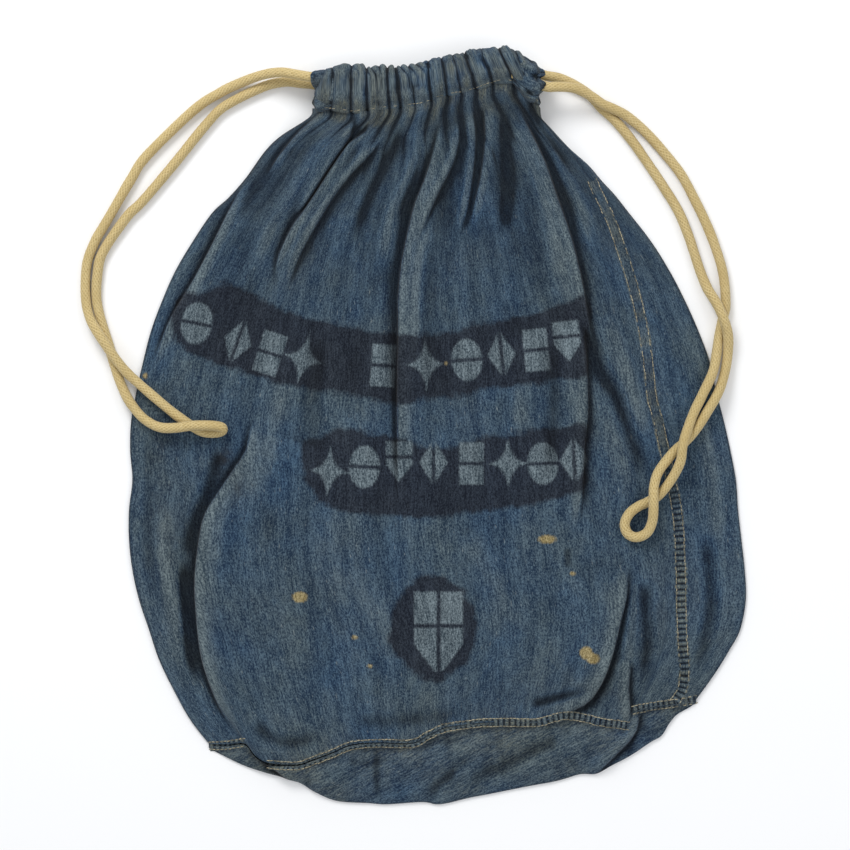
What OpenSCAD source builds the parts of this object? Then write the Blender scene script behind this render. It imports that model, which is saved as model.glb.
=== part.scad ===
// Drawstring sack of blue denim with a round bottom, lying flat and empty, its mouth drawn closed.
// Millimetres. X runs across the sack, Y from the bottom seam to the mouth, Z up from the surface it lies on.
// The origin is the middle of the sack's own outline, on that surface.

/* [Sack] */
// Width of the sack as it lies
sack_w = 558; // [540:1:576]
// Length of the sack as it lies, mouth included
sack_l = 682; // [660:1:704]
// Height of the middle of the sack above the back layer
loft = 14; // [13:0.5:18]
// Thickness of one layer of denim
cloth_t = 1.5; // [1.2:0.1:1.8]

/* [Mouth] */
// Depth of the casing, from its stitch line to its top edge
casing_d = 33; // [32:1:36]
// Free height of the drawn mouth between the two halves of the casing
mouth_gap = 7; // [6:0.5:8]
// Number of gathers across the casing
gathers = 18; // [14:1:20]

/* [Seams] */
// Width of a flat-felled seam
seam_w = 12; // [9:0.5:14]
// Thickness of the sewing thread
thread_d = 0.8; // [0.5:0.1:1]

/* [Cord] */
// Diameter of the braided cotton drawcord
cord_d = 9; // [8:0.1:9]
// Length of each cord end that lies inside the casing and slides out of it
cord_tail = 29; // [28:1:30]

/* [Hidden] */

denim = "#3b5068";
faded_denim = "#566a7c";
thread_tan = "#b3a27a";
cotton = "#dcc68c";

nominal = [558, 682];
plan_scale = [sack_w / nominal.x, sack_l / nominal.y];

// Plan outlines, at the nominal size. The sides run from the casing down to the bottom seam.
left_side = [[-104, 299], [-108, 280], [-141, 264], [-189, 211], [-221, 170], [-249, 116], [-266, 62],
             [-278, 20], [-277, -37], [-279, -91], [-270, -154], [-252, -208], [-224, -262], [-210, -283]];
right_side = [[89, 299], [98, 280], [136, 238], [171, 197], [201, 157], [223, 116], [245, 62], [261, 8],
              [268, -46], [275, -110], [279, -158], [268, -192], [252, -220], [233, -246]];
front_seam_line = [[-210, -283], [-149, -303], [-79, -287], [-23, -282], [20, -266], [93, -264],
                   [135, -263], [172, -266], [200, -252], [233, -246]];
back_seam_line = [[-210, -283], [-222, -210], [-208, -115], [-150, -35], [-65, 5], [20, 12], [105, -2],
                  [180, -52], [225, -130], [241, -205], [233, -246]];
bottom_edge = [[-210, -283], [-174, -302], [-108, -329], [-61, -339], [-7, -341], [56, -337], [110, -325],
               [161, -302], [203, -275], [233, -246]];
// Where the front's side seam crosses each row of the panel, as a share of its width.
side_seam_share = [0.93, 0.93, 0.905, 0.885, 0.895, 0.895, 0.95];
side_seam_from = 0.17;

// The casing, its channels and the drawcords in them.
casing_x = [-104 * plan_scale.x, 89 * plan_scale.x];
casing_y = 299 * plan_scale.y;
casing_top = [[89, 331], [80, 339], [64, 341], [20, 335], [-50, 328], [-104, 325]];
casing_h = cord_d + 4.5;
wall = 1.5;
front_z = casing_h + mouth_gap;
casing_end_l = 22;
front_lane_z = front_z + casing_h / 2 - 0.25;
back_lane_z = casing_h / 2 + 0.25;
// Each cord's two lanes, in Y and Z: the first in the front channel, the second in the back one.
left_lanes = [[casing_y + 18, front_lane_z], [casing_y + 8.5, back_lane_z]];
right_lanes = [[casing_y + 7, front_lane_z], [casing_y + 19.5, back_lane_z]];
collar_l = 8;
collar_wall = 2.4;
lane_clear = 0.6;
left_exit_x = casing_x[0] - collar_l;
right_exit_x = casing_x[1] + collar_l;

// The free loops of the drawcords: out of the front lane, round, and back into the back lane.
left_loop = [[-122, 318, 26.5], [-140, 321, 22], [-158, 318, 15], [-177, 312, 8.5], [-197, 303, 5.2],
             [-221, 287, 4.7], [-263, 246, 4.7], [-277, 225, 4.7], [-299, 187, 4.7], [-309, 170, 4.7],
             [-316, 152, 4.7], [-318, 133, 4.7], [-317, 113, 5], [-313, 99, 8.5], [-306, 87, 12.5],
             [-298, 75, 14.2], [-289, 62, 13.5], [-280, 51, 12.5], [-268, 40, 13], [-254, 28, 15],
             [-237, 15, 16.2], [-222, 4, 16.6], [-210, -5, 17], [-198, -9, 17.3], [-189, -6, 18],
             [-188, 3, 20.5], [-196, 7, 23.5], [-208, 6, 25.5], [-221, 3, 26], [-236, 1, 22.5],
             [-251, 2, 18], [-265, 10, 14.4], [-277, 24, 10.8], [-285, 39, 6.8], [-291, 55, 4.7],
             [-297, 76, 4.7], [-304, 98, 4.7], [-308, 118, 4.7], [-307, 141, 4.7], [-302, 160, 4.7],
             [-281, 191, 4.7], [-266, 206, 4.7], [-238, 239, 4.7], [-208, 276, 4.7], [-191, 292, 4.7],
             [-158, 309, 4.7], [-138, 312, 5.2], [-122, 309, 6.6]];
right_loop = [[108, 306, 26.5], [122, 305, 23], [136, 299.5, 17.5], [148, 292, 14.2], [160, 287, 11],
              [172, 280.5, 7.5], [188, 267, 4.9], [205, 248, 4.7], [219, 230, 4.7], [230, 210, 4.7],
              [242, 185, 4.7], [251, 162, 4.7], [257.5, 138, 4.7], [259.5, 112, 4.7], [256.5, 98, 4.7],
              [253.5, 84, 4.7], [251, 68, 7.8], [247, 51, 12.8], [237, 30, 16.2], [229, 14, 19],
              [222.5, -2, 25], [218.5, -15, 28.2], [217, -28, 25.6], [212, -40, 22.2], [205, -51, 20.3],
              [197, -60, 18.4], [188, -66, 18.1], [178, -71, 18.2], [169, -79, 18.4], [165, -89, 18.6],
              [169, -99, 18.7], [179, -102, 18.9], [189, -96, 20.4], [193, -85, 23.4], [193, -73, 26.4],
              [192.5, -62, 27.6], [193, -51, 26], [197, -39, 22.5], [205, -28, 20.2], [214, -18, 18.8],
              [224, -9, 18.1], [233, 2, 17], [242, 16, 15], [252, 33, 12.4], [258, 50, 8.4], [261, 67, 6.6],
              [261, 84, 10.5], [257, 98, 14.2], [251, 112, 12.5], [243, 126, 8], [237, 141, 4.7],
              [232, 156, 4.7], [225, 177, 4.7], [216, 198, 4.7], [203, 219, 4.7], [189, 240, 4.7],
              [175, 260, 4.7], [160, 278, 4.7], [148, 289, 4.7], [138, 300, 4.7], [125, 309, 5.5],
              [110, 316, 6.6]];
cord_sides = 10;

function on_plan(p) = [for (i = [0:len(p) - 1]) i < 2 ? p[i] * plan_scale[i] : p[i]];
function mix(a, b, u) = a + (b - a) * u;

// A smooth curve through points, at u from 0 to 1.
function curve(points, u) =
    let (last = len(points) - 1, at = min(max(u, 0), 1) * last, i = min(floor(at), last - 1), f = at - i,
         p0 = points[max(i - 1, 0)], p1 = points[i], p2 = points[i + 1], p3 = points[min(i + 2, last)])
    0.5 * (2 * p1 + (p2 - p0) * f + (2 * p0 - 5 * p1 + 4 * p2 - p3) * f * f
           + (3 * p1 - p0 - 3 * p2 + p3) * f * f * f);
function curve_points(points, steps) = [for (i = [0:steps]) on_plan(curve(points, i / steps))];

// A sheet spanned between four edges: s runs left to right, t from the top edge to the bottom edge.
function span(left, right, top, bottom, s, t) =
    mix(curve(left, t), curve(right, t), s) + mix(curve(top, s), curve(bottom, s), t)
    - mix(mix(left[0], right[0], s), mix(left[len(left) - 1], right[len(right) - 1], s), t);

// Height of the front layer above the back one: it tapers to the side folds and climbs to the casing.
function front_rise(s, t) =
    let (side = sqrt(max(0, 1 - pow(abs(2 * s - 1), 4))),
         climb = (front_z + casing_h / 2 - loft) * pow(max(0, 1 - t / 0.32), 2),
         tuck = 3 * pow(max(0, (t - 0.8) / 0.2), 2))
    side * (loft - 2 * cloth_t + climb - tuck);
function front_point(s, t) =
    let (p = on_plan(span(left_side, right_side, [left_side[0], right_side[0]], front_seam_line, s, t)))
    [p.x, p.y, cloth_t + front_rise(s, t)];
// The bottom panel runs on from the seam and curls down to the bottom fold.
function bottom_point(s, t) =
    let (p = on_plan(mix(curve(front_seam_line, s), curve(bottom_edge, s), t)))
    [p.x, p.y, cloth_t + front_rise(s, 1) * (1 - t * t)];

// A layer of cloth over a grid of points f(s, t), from height low to height high above them.
module cloth_layer(f, s_range, t_range, columns, rows, low, high) {
    grid = [for (j = [0:rows], i = [0:columns])
            f(mix(s_range[0], s_range[1], i / columns), mix(t_range[0], t_range[1], j / rows))];
    n = columns + 1;
    half = len(grid);
    upper = [for (p = grid) p + [0, 0, high]];
    lower = [for (p = grid) p + [0, 0, low]];
    rim = concat([for (i = [0:columns]) i], [for (j = [1:rows]) j * n + columns],
                 [for (i = [1:columns]) rows * n + columns - i], [for (j = [1:rows - 1]) (rows - j) * n]);
    faces = concat(
        [for (j = [0:rows - 1], i = [0:columns - 1]) each [[j * n + i, j * n + i + 1, (j + 1) * n + i],
            [j * n + i + 1, (j + 1) * n + i + 1, (j + 1) * n + i]]],
        [for (j = [0:rows - 1], i = [0:columns - 1]) each [
            [half + (j + 1) * n + i, half + j * n + i + 1, half + j * n + i],
            [half + (j + 1) * n + i, half + (j + 1) * n + i + 1, half + j * n + i + 1]]],
        [for (k = [0:len(rim) - 1]) let (a = rim[k], b = rim[(k + 1) % len(rim)]) each [
            [b, a, half + a], [b, half + a, half + b]]]);
    polyhedron(concat(upper, lower), faces);
}

// A flat band of a given width along a line of plan points.
module flat_band(points, width, thickness) {
    last = len(points) - 1;
    normals = [for (i = [0:last])
               let (d = points[min(i + 1, last)] - points[max(i - 1, 0)]) [-d.y, d.x] / norm(d)];
    linear_extrude(thickness)
        polygon(concat([for (i = [0:last]) points[i] + normals[i] * width / 2],
                       [for (i = [last:-1:0]) points[i] - normals[i] * width / 2]));
}

// A round cord swept along points.
module cord(points) {
    last = len(points) - 1;
    along = [for (i = [0:last])
             let (d = points[min(i + 1, last)] - points[max(i - 1, 0)]) d / norm(d)];
    across = [for (d = along) let (c = cross([0, 0, 1], d)) c / norm(c)];
    rings = [for (i = [0:last], k = [0:cord_sides - 1])
             let (a = 360 * k / cord_sides)
             points[i] + cord_d / 2 * (cos(a) * across[i] + sin(a) * cross(along[i], across[i]))];
    faces = concat(
        [[for (k = [cord_sides - 1:-1:0]) k]],
        [[for (k = [0:cord_sides - 1]) last * cord_sides + k]],
        [for (i = [0:last - 1], k = [0:cord_sides - 1])
         let (a = i * cord_sides + k, b = i * cord_sides + (k + 1) % cord_sides) each [
            [a, b, a + cord_sides], [b, b + cord_sides, a + cord_sides]]]);
    polyhedron(rings, [for (f = faces) [for (i = [len(f) - 1:-1:0]) f[i]]]);
}

module front_panel() {
    color(denim) cloth_layer(function (s, t) front_point(s, t), [0, 1], [0, 1], 28, 30, 0, cloth_t);
}

module back_panel() {
    right_edge = curve_points(right_side, 40);
    color(denim) linear_extrude(cloth_t)
        polygon(concat(curve_points(left_side, 40), curve_points(back_seam_line, 40),
                       [for (i = [39:-1:0]) right_edge[i]]));
}

// The round bottom, folded flat: a crescent of it shows in front, and the rest lies underneath.
module bottom_panel() {
    seam_edge = curve_points(back_seam_line, 40);
    color(denim) {
        cloth_layer(function (s, t) bottom_point(s, t), [0.02, 0.98], [0.03, 1], 28, 6, 0, cloth_t);
        linear_extrude(cloth_t + 0.02)
            polygon(concat(curve_points(bottom_edge, 36),
                           [for (i = [39:-1:1]) seam_edge[i] - [0, 0.3]]));
    }
}

module casing_outline() {
    polygon(concat([[casing_x[0], casing_y], [casing_x[1], casing_y]], [for (p = casing_top) on_plan(p)]));
}

// The part of the casing between two places along X.
module casing_slab(from_x, to_x, height) {
    intersection() {
        linear_extrude(height) casing_outline();
        translate([from_x, casing_y - 1, -1]) cube([to_x - from_x, casing_d + 20, height + 2]);
    }
}

// The hollow of a casing, a wall's thickness inside its outline, between two places along X.
module channel(from_x, to_x, height) {
    intersection() {
        translate([0, 0, wall]) linear_extrude(height - 2 * wall) offset(delta = -wall) casing_outline();
        translate([from_x, casing_y - 1, 0]) cube([to_x - from_x, casing_d + 20, height]);
    }
}

// Half of the casing: a flat tube for the cords. The front one shows its gathers as ridges.
module front_casing() {
    from_x = casing_x[0] + casing_end_l;
    to_x = casing_x[1] - casing_end_l;
    pitch = (casing_x[1] - casing_x[0]) / gathers;
    ridge_r = 0.54 * pitch;
    color(faded_denim) translate([0, 0, front_z]) {
        difference() {
            casing_slab(from_x, to_x, casing_h);
            channel(from_x - 1, to_x + 1, casing_h);
        }
        intersection() {
            translate([0, 0, casing_h]) linear_extrude(ridge_r) casing_outline();
            for (x = [from_x + pitch / 2:pitch:to_x - pitch / 2])
                translate([x, casing_y, casing_h - ridge_r * 0.4])
                    rotate([-90, 0, 0]) cylinder(h = casing_d + 12, r = ridge_r, $fn = 32);
        }
    }
}

module back_casing() {
    from_x = casing_x[0] + casing_end_l;
    to_x = casing_x[1] - casing_end_l;
    color(faded_denim) difference() {
        casing_slab(from_x, to_x, casing_h);
        channel(from_x - 1, to_x + 1, casing_h);
    }
}

// A slot with round ends between two places, in the plane across the cords.
module slot_shape(lanes, r) {
    d = lanes[0] - lanes[1];
    start = atan2(d.y, d.x) - 90;
    polygon([for (i = [0:1], a = [0:15:180])
             lanes[i] + r * [cos(start + a + 180 * i), sin(start + a + 180 * i)]]);
}

module along_x(from_x, length) {
    translate([from_x, 0, 0]) rotate([90, 0, 90]) linear_extrude(length) children();
}

// The side fold of the mouth, where the casing turns from front to back and the cord comes out.
module casing_end(from_x, hollow_from, slot_from, lanes) {
    height = front_z + casing_h;
    color(denim) difference() {
        casing_slab(from_x, from_x + casing_end_l, height);
        channel(hollow_from, hollow_from + casing_end_l + 1, height);
        along_x(slot_from, 2 * wall + 2) slot_shape(lanes, cord_d / 2 + lane_clear);
    }
}

module left_casing_end() {
    casing_end(casing_x[0], casing_x[0], casing_x[0] - 2, left_lanes);
}

module right_casing_end() {
    from_x = casing_x[1] - casing_end_l;
    casing_end(from_x, from_x - 1, casing_x[1] - 2 * wall, right_lanes);
}

// A collar of rolled cloth round the two strands of one cord, where they leave the casing.
module cord_collar(from_x, lanes) {
    color(faded_denim) along_x(from_x, collar_l) difference() {
        slot_shape(lanes, cord_d / 2 + collar_wall);
        slot_shape(lanes, cord_d / 2 + lane_clear);
    }
}

module left_cord_collar() { cord_collar(left_exit_x, left_lanes); }
module right_cord_collar() { cord_collar(casing_x[1], right_lanes); }

function seam_share(t) = curve(side_seam_share, (t - side_seam_from) / (1 - side_seam_from));
function side_seam_point(u, t, width) =
    front_point(seam_share(t) + (u - 0.5) * width / mix(430, 480, t), t) + [0, 0, cloth_t];

// The flat-felled side seam of the front, raised by the two layers folded into it.
module side_seam() {
    color(faded_denim) cloth_layer(function (u, t) side_seam_point(u, t, seam_w), [0, 1],
                                   [side_seam_from, 0.95], 3, 30, 0.02, cloth_t);
}

function front_hem_point(s, u) = front_point(s, 1 - u * seam_w / 300) + [0, 0, cloth_t];

module front_bottom_seam() {
    color(faded_denim) cloth_layer(function (s, u) front_hem_point(s, 1 - u), [0.03, 0.94], [0, 1], 30, 2,
                                   0.02, cloth_t);
}

// Behind, the bottom's felled seam lies on the inside of the back panel.
module back_bottom_seam() {
    color(faded_denim) translate([0, 0, cloth_t + 0.02])
        flat_band([for (u = [0.12:0.03:0.88]) on_plan(curve(back_seam_line, u))], seam_w, cloth_t);
}

// The open part of a drawcord: its two strands come out of one collar and meet in a loop.
module drawcord_loop(exit_x, inside_x, lanes, loop) {
    out = [for (x = [inside_x, exit_x]) [x, lanes[0].x, lanes[0].y]];
    back = [for (x = [exit_x, inside_x]) [x, lanes[1].x, lanes[1].y]];
    cord(concat(out, [for (p = loop) on_plan(p)], back));
}

module left_drawcord_loop() {
    color(cotton) drawcord_loop(left_exit_x, left_exit_x + cord_tail, left_lanes, left_loop);
}

module right_drawcord_loop() {
    color(cotton) drawcord_loop(right_exit_x, right_exit_x - cord_tail, right_lanes, right_loop);
}

// The hidden run of a cord: along the front channel, round the far side fold, back along the back channel.
module cord_run(from_x, turn_x, lanes) {
    middle = (lanes[0] + lanes[1]) / 2;
    reach = (lanes[0] - lanes[1]) / 2;
    far = sign(turn_x - from_x) * norm(reach);
    turn = [for (a = [0:18:180])
            [turn_x + far * sin(a), middle.x + reach.x * cos(a), middle.y + reach.y * cos(a)]];
    cord(concat([[from_x, lanes[0].x, lanes[0].y]], turn, [[from_x, lanes[1].x, lanes[1].y]]));
}

module left_drawcord_run() {
    color(cotton) cord_run(left_exit_x + cord_tail, casing_x[1] - 18.5, left_lanes);
}

module right_drawcord_run() {
    color(cotton) cord_run(right_exit_x - cord_tail, casing_x[0] + 19.5, right_lanes);
}

// The row of stitches that closes the casing.
module casing_stitching() {
    from_x = casing_x[0] + casing_end_l + 1;
    to_x = casing_x[1] - casing_end_l - 1;
    color(thread_tan) for (x = [from_x:4:to_x - 3])
        translate([x, casing_y - thread_d, front_z + casing_h - thread_d]) cube([3, thread_d, thread_d]);
}

// The two rows of stitches along each felled seam.
module side_seam_stitching() {
    color(thread_tan) for (u = [0.14, 0.86])
        cloth_layer(function (v, t) side_seam_point(u + (v - 0.5) * thread_d / seam_w, t, seam_w), [0, 1],
                    [side_seam_from + 0.01, 0.945], 1, 30, cloth_t + 0.02, cloth_t + thread_d / 2);
}

module bottom_seam_stitching() {
    color(thread_tan) for (u = [0.14, 0.86])
        cloth_layer(function (s, v) front_hem_point(s, 1 - u - (v - 0.5) * thread_d / seam_w), [0.035, 0.935],
                    [0, 1], 40, 1, cloth_t + 0.02, cloth_t + thread_d / 2);
}

front_panel();
back_panel();
bottom_panel();
front_casing();
back_casing();
left_casing_end();
right_casing_end();
left_cord_collar();
right_cord_collar();
side_seam();
front_bottom_seam();
back_bottom_seam();
left_drawcord_loop();
right_drawcord_loop();
left_drawcord_run();
right_drawcord_run();
casing_stitching();
side_seam_stitching();
bottom_seam_stitching();
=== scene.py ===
import math

import bpy
import numpy as np
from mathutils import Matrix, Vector
from mathutils.bvhtree import BVHTree


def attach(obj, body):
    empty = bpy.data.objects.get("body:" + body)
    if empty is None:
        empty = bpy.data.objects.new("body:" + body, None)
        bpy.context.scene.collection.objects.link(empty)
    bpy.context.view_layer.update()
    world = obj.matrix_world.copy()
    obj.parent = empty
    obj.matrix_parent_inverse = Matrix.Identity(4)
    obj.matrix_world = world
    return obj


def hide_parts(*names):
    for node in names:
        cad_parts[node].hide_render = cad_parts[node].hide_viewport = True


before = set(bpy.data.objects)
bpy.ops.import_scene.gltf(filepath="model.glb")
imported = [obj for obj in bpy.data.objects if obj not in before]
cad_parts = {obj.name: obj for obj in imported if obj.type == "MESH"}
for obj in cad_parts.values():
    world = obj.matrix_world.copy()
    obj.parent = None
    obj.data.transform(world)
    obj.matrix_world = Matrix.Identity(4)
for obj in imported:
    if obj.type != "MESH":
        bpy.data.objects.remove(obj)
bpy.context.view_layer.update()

MM = 0.001


def detail(full):
    """A count or a step, at full detail."""
    return full


def add_object(name, data):
    obj = bpy.data.objects.new(name, data)
    bpy.context.collection.objects.link(obj)
    return obj


# ---------------------------------------------------------------- a material's nodes

class Shader:
    """A material being made. What is fed to a node is a number, a colour, a vector or a node's output."""

    def __init__(self, name):
        self.material = bpy.data.materials.new(name)
        self.material.use_nodes = True
        self.tree = self.material.node_tree

    def feed(self, socket, value):
        if isinstance(value, bpy.types.NodeSocket):
            self.tree.links.new(value, socket)
        else:
            socket.default_value = value + (1,) if socket.type == "RGBA" else value

    def node(self, kind, inputs=(), **settings):
        """A new node, with its inputs by place or by name."""
        node = self.tree.nodes.new("ShaderNode" + kind)
        for key, value in settings.items():
            setattr(node, key, value)
        for key, value in inputs.items() if isinstance(inputs, dict) else enumerate(inputs):
            self.feed(node.inputs[key], value)
        return node

    def math(self, operation, *values, clamp=False):
        return self.node("Math", values, operation=operation, use_clamp=clamp).outputs[0]

    def times(self, a, b, clamp=False):
        return self.math("MULTIPLY", a, b, clamp=clamp)

    def plus(self, a, b):
        return self.math("ADD", a, b)

    def ramp(self, value, low, high, out_low=0, out_high=1):
        return self.node("MapRange", (value, low, high, out_low, out_high), clamp=True).outputs[0]

    def mix(self, factor, a, b, blend="MIX"):
        settings = {"data_type": "RGBA", "blend_type": blend, "clamp_factor": True}
        return self.node("Mix", {0: factor, 6: a, 7: b}, **settings).outputs[2]

    def tinted(self, colour, tint):
        return self.mix(1, colour, tint, "MULTIPLY")

    def flat_place(self):
        return self.node("UVMap", uv_map="Flat").outputs[0]

    def stretched(self, u, v, turn=0):
        """The flat cloth's coordinates, scaled across and along."""
        inputs = {"Vector": self.flat_place(), "Scale": (u, v, 1), "Rotation": (0, 0, turn)}
        return self.node("Mapping", inputs).outputs[0]

    def object_place(self):
        return self.node("TexCoord").outputs["Object"]

    def noise(self, place, scale=1, octaves=2, rough=0.5):
        inputs = {"Vector": place, "Scale": scale, "Detail": octaves, "Roughness": rough}
        return self.node("TexNoise", inputs).outputs["Fac"]

    def cloth_noise(self, u, v, octaves, rough, w):
        """Noise stretched over the flat cloth; w sets apart noises of the same size."""
        inputs = {"Vector": self.stretched(u, v), "Scale": 1, "Detail": octaves, "Roughness": rough, "W": w}
        return self.node("TexNoise", inputs, noise_dimensions="4D").outputs["Fac"]

    def attribute(self, name):
        return self.node("Attribute", attribute_name=name).outputs["Fac"]

    def finish(self, surface, height=None, strength=0, distance=0):
        """The material, with its surface's values fed, and bumps where a height is given."""
        inputs = self.tree.nodes["Principled BSDF"].inputs
        for key, value in surface.items():
            self.feed(inputs[key], value)
        if height is not None:
            bump = self.node("Bump", {"Height": height, "Strength": strength, "Distance": distance})
            self.feed(inputs["Normal"], bump.outputs[0])
        return self.material


# ---------------------------------------------------------------- camera, floor and light

def add_camera():
    """Straight above the sack, through a long lens: the view is 768 mm wide on the floor."""
    data = bpy.data.cameras.new("camera")
    data.sensor_width = 36
    data.lens = 112
    camera = add_object("camera", data)
    camera.location = (-0.0117, 0.0036, 2.39)
    bpy.context.scene.camera = camera


def add_area(name, location, size, energy):
    """A round lamp that looks at the frame's origin."""
    data = bpy.data.lights.new(name, "AREA")
    data.shape = "DISK"
    data.size = size
    data.energy = energy
    light = add_object(name, data)
    light.location = location
    light.rotation_euler = (-light.location).to_track_quat("-Z", "Y").to_euler()


def add_stage():
    mesh = bpy.data.meshes.new("floor")
    mesh.from_pydata([(-4, -4, 0), (4, -4, 0), (4, 4, 0), (-4, 4, 0)], [], [(0, 1, 2, 3)])
    mesh.materials.append(Shader("floor_paper").finish({"Base Color": (0.93, 0.93, 0.93), "Roughness": 0.9}))
    floor = add_object("floor", mesh)
    floor.location.z = -0.0002
    world = bpy.data.worlds.new("studio")
    world.use_nodes = True
    sky = world.node_tree.nodes["Background"].inputs
    sky["Color"].default_value = (0.95, 0.97, 1, 1)
    sky["Strength"].default_value = 0.75
    bpy.context.scene.world = world
    bpy.context.scene.view_settings.view_transform = "Standard"
    add_area("key", (-0.7, 1.5, 1.5), 0.9, 26)
    add_area("fill", (1.5, -0.4, 1.6), 1.4, 6)


add_camera()
add_stage()


# ---------------------------------------------------------------- curves and fields

def catmull(points, u):
    """A smooth curve through points, at each u from 0 to 1."""
    p = np.asarray(points, float)
    last = len(p) - 1
    at = np.clip(u, 0, 1) * last
    i = np.minimum(np.floor(at).astype(int), last - 1)
    f = (at - i)[..., None]
    p0, p1, p2, p3 = p[np.maximum(i - 1, 0)], p[i], p[i + 1], p[np.minimum(i + 2, last)]
    return 0.5 * (2 * p1 + (p2 - p0) * f + (2 * p0 - 5 * p1 + 4 * p2 - p3) * f**2
                  + (3 * p1 - p0 - 3 * p2 + p3) * f**3)


def distances(path):
    """How far along a line each of its points is."""
    return np.r_[0, np.cumsum(np.linalg.norm(np.diff(path, axis=0), axis=1))]


def evenly(points, count):
    """count points at equal distances along a smooth curve."""
    p = catmull(points, np.linspace(0, 1, len(points) * 24))
    run = distances(p)
    at = np.linspace(0, run[-1], count)
    return np.stack([np.interp(at, run, p[:, k]) for k in range(p.shape[1])], 1)


def spaced(line, step, least):
    """Points about a step apart along a smooth curve."""
    return evenly(line, max(least, int(distances(line)[-1] / step)))


def headings(path):
    """The direction of a line at each of its points, and the direction to its left, both of length 1."""
    along = np.gradient(path, axis=0)
    along /= np.linalg.norm(along, axis=1)[:, None]
    return along, np.stack([-along[:, 1], along[:, 0]], -1)


def gauss(x, width):
    return np.exp(-((x / width) ** 2))


def smoothstep(x, low=0.0, high=1.0):
    f = np.clip((x - low) / (high - low), 0, 1)
    return f * f * (3 - 2 * f)


def noise(x, y, seed):
    """Smooth noise of unit cell size, from -1 to 1."""
    table = np.random.default_rng(seed).uniform(-1, 1, (256, 256))
    xi, yi = np.floor(x).astype(int), np.floor(y).astype(int)
    fx, fy = x - xi, y - yi
    fx, fy = fx * fx * (3 - 2 * fx), fy * fy * (3 - 2 * fy)
    a, b = table[xi % 256, yi % 256], table[(xi + 1) % 256, yi % 256]
    c, d = table[xi % 256, (yi + 1) % 256], table[(xi + 1) % 256, (yi + 1) % 256]
    return (a + (b - a) * fx) * (1 - fy) + (c + (d - c) * fx) * fy


def blur(field, cells):
    """Box blur, run twice along each axis, with the edge values held."""
    out = field
    for axis in (0, 1):
        r = max(1, int(round(cells[axis])))
        for _ in range(2):
            pad = [(0, 0), (0, 0)]
            pad[axis] = (r + 1, r)
            total = np.cumsum(np.pad(out, pad, mode="edge"), axis=axis)
            n = field.shape[axis]
            hi = np.take(total, range(2 * r + 1, 2 * r + 1 + n), axis=axis)
            lo = np.take(total, range(0, n), axis=axis)
            out = (hi - lo) / (2 * r + 1)
    return out


def along_line(x, y, line):
    """For each place: its distance from a line, positive on its left, and its share along it."""
    line = np.asarray(line, float)
    seg = np.diff(line, axis=0)
    length = np.linalg.norm(seg, axis=1)
    start = np.r_[0, np.cumsum(length)]
    best = np.full(x.shape, 1e9)
    signed = np.zeros(x.shape)
    place = np.zeros(x.shape)
    for k in range(len(seg)):
        dx, dy = seg[k] / length[k]
        rx, ry = x - line[k, 0], y - line[k, 1]
        f = np.clip(rx * dx + ry * dy, 0, length[k])
        ex, ey = rx - f * dx, ry - f * dy
        d = np.hypot(ex, ey)
        near = d < best
        best = np.where(near, d, best)
        signed = np.where(near, np.where(dx * ry - dy * rx >= 0, d, -d), signed)
        place = np.where(near, (start[k] + f) / start[-1], place)
    return signed, place


def in_polygon_distance(x, y, corners):
    """Signed distance from a closed outline, negative inside."""
    ring = np.vstack([corners, corners[:1]])
    d, _ = along_line(x, y, ring)
    inside = np.zeros(x.shape, bool)
    for (x0, y0), (x1, y1) in zip(ring[:-1], ring[1:]):
        crosses = ((y0 > y) != (y1 > y)) & (x < (x1 - x0) * (y - y0) / (y1 - y0 + 1e-12) + x0)
        inside ^= crosses
    return np.where(inside, -np.abs(d), np.abs(d))


# ---------------------------------------------------------------- meshes

def make_object(name, mesh, material, body, nodes):
    """A piece that rides a body and stands for nodes of the frame."""
    mesh.polygons.foreach_set("use_smooth", [True] * len(mesh.polygons))
    mesh.materials.append(material)
    obj = add_object(name, mesh)
    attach(obj, body)
    if nodes:
        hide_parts(*nodes)
    return obj


# What the cloth's shader reads at each place, and its value on unmarked cloth. Wear and shading is from -1.6,
# painted shade in a hollow, to 1.6, rubbed pale with painted highlight on ridges; band, mark and spot are
# distances in mm, below zero on the paint.
WEAR_AND_SHADING_LIMIT = 1.6
PLAIN_CLOTH = {"wear_and_shading": 0, "grime": 0.1, "stain_and_hole_shade": 0, "band": 30, "mark": 20, "spot": 10}


def grid_mesh(name, points, flat, fields=None, close_u=False, close_v=False):
    """A mesh over a rows by columns grid of places in mm, with its flat cloth coordinates as UVs."""
    rows, cols = points.shape[:2]
    j, i = np.meshgrid(np.arange(rows if close_v else rows - 1), np.arange(cols if close_u else cols - 1),
                       indexing="ij")
    j2, i2 = (j + 1) % rows, (i + 1) % cols
    quads = np.stack([j * cols + i, j2 * cols + i, j2 * cols + i2, j * cols + i2], -1).reshape(-1, 4)
    mesh = bpy.data.meshes.new(name)
    mesh.vertices.add(rows * cols)
    mesh.vertices.foreach_set("co", (points * MM).reshape(-1))
    mesh.loops.add(quads.size)
    mesh.loops.foreach_set("vertex_index", quads.reshape(-1).astype(np.int32))
    mesh.polygons.add(len(quads))
    mesh.polygons.foreach_set("loop_start", (np.arange(len(quads)) * 4).astype(np.int32))
    mesh.update(calc_edges=True)
    uv = mesh.uv_layers.new(name="Flat")
    uv.data.foreach_set("uv", (flat.reshape(-1, 2)[quads.reshape(-1)] * MM).reshape(-1))
    for key, plain in (PLAIN_CLOTH if fields is not None else {}).items():
        attr = mesh.attributes.new(key, "FLOAT", "POINT")
        values = np.broadcast_to(np.asarray(fields.get(key, plain), float), (rows, cols))
        attr.data.foreach_set("value", np.ascontiguousarray(values).reshape(-1))
    return mesh


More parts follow.
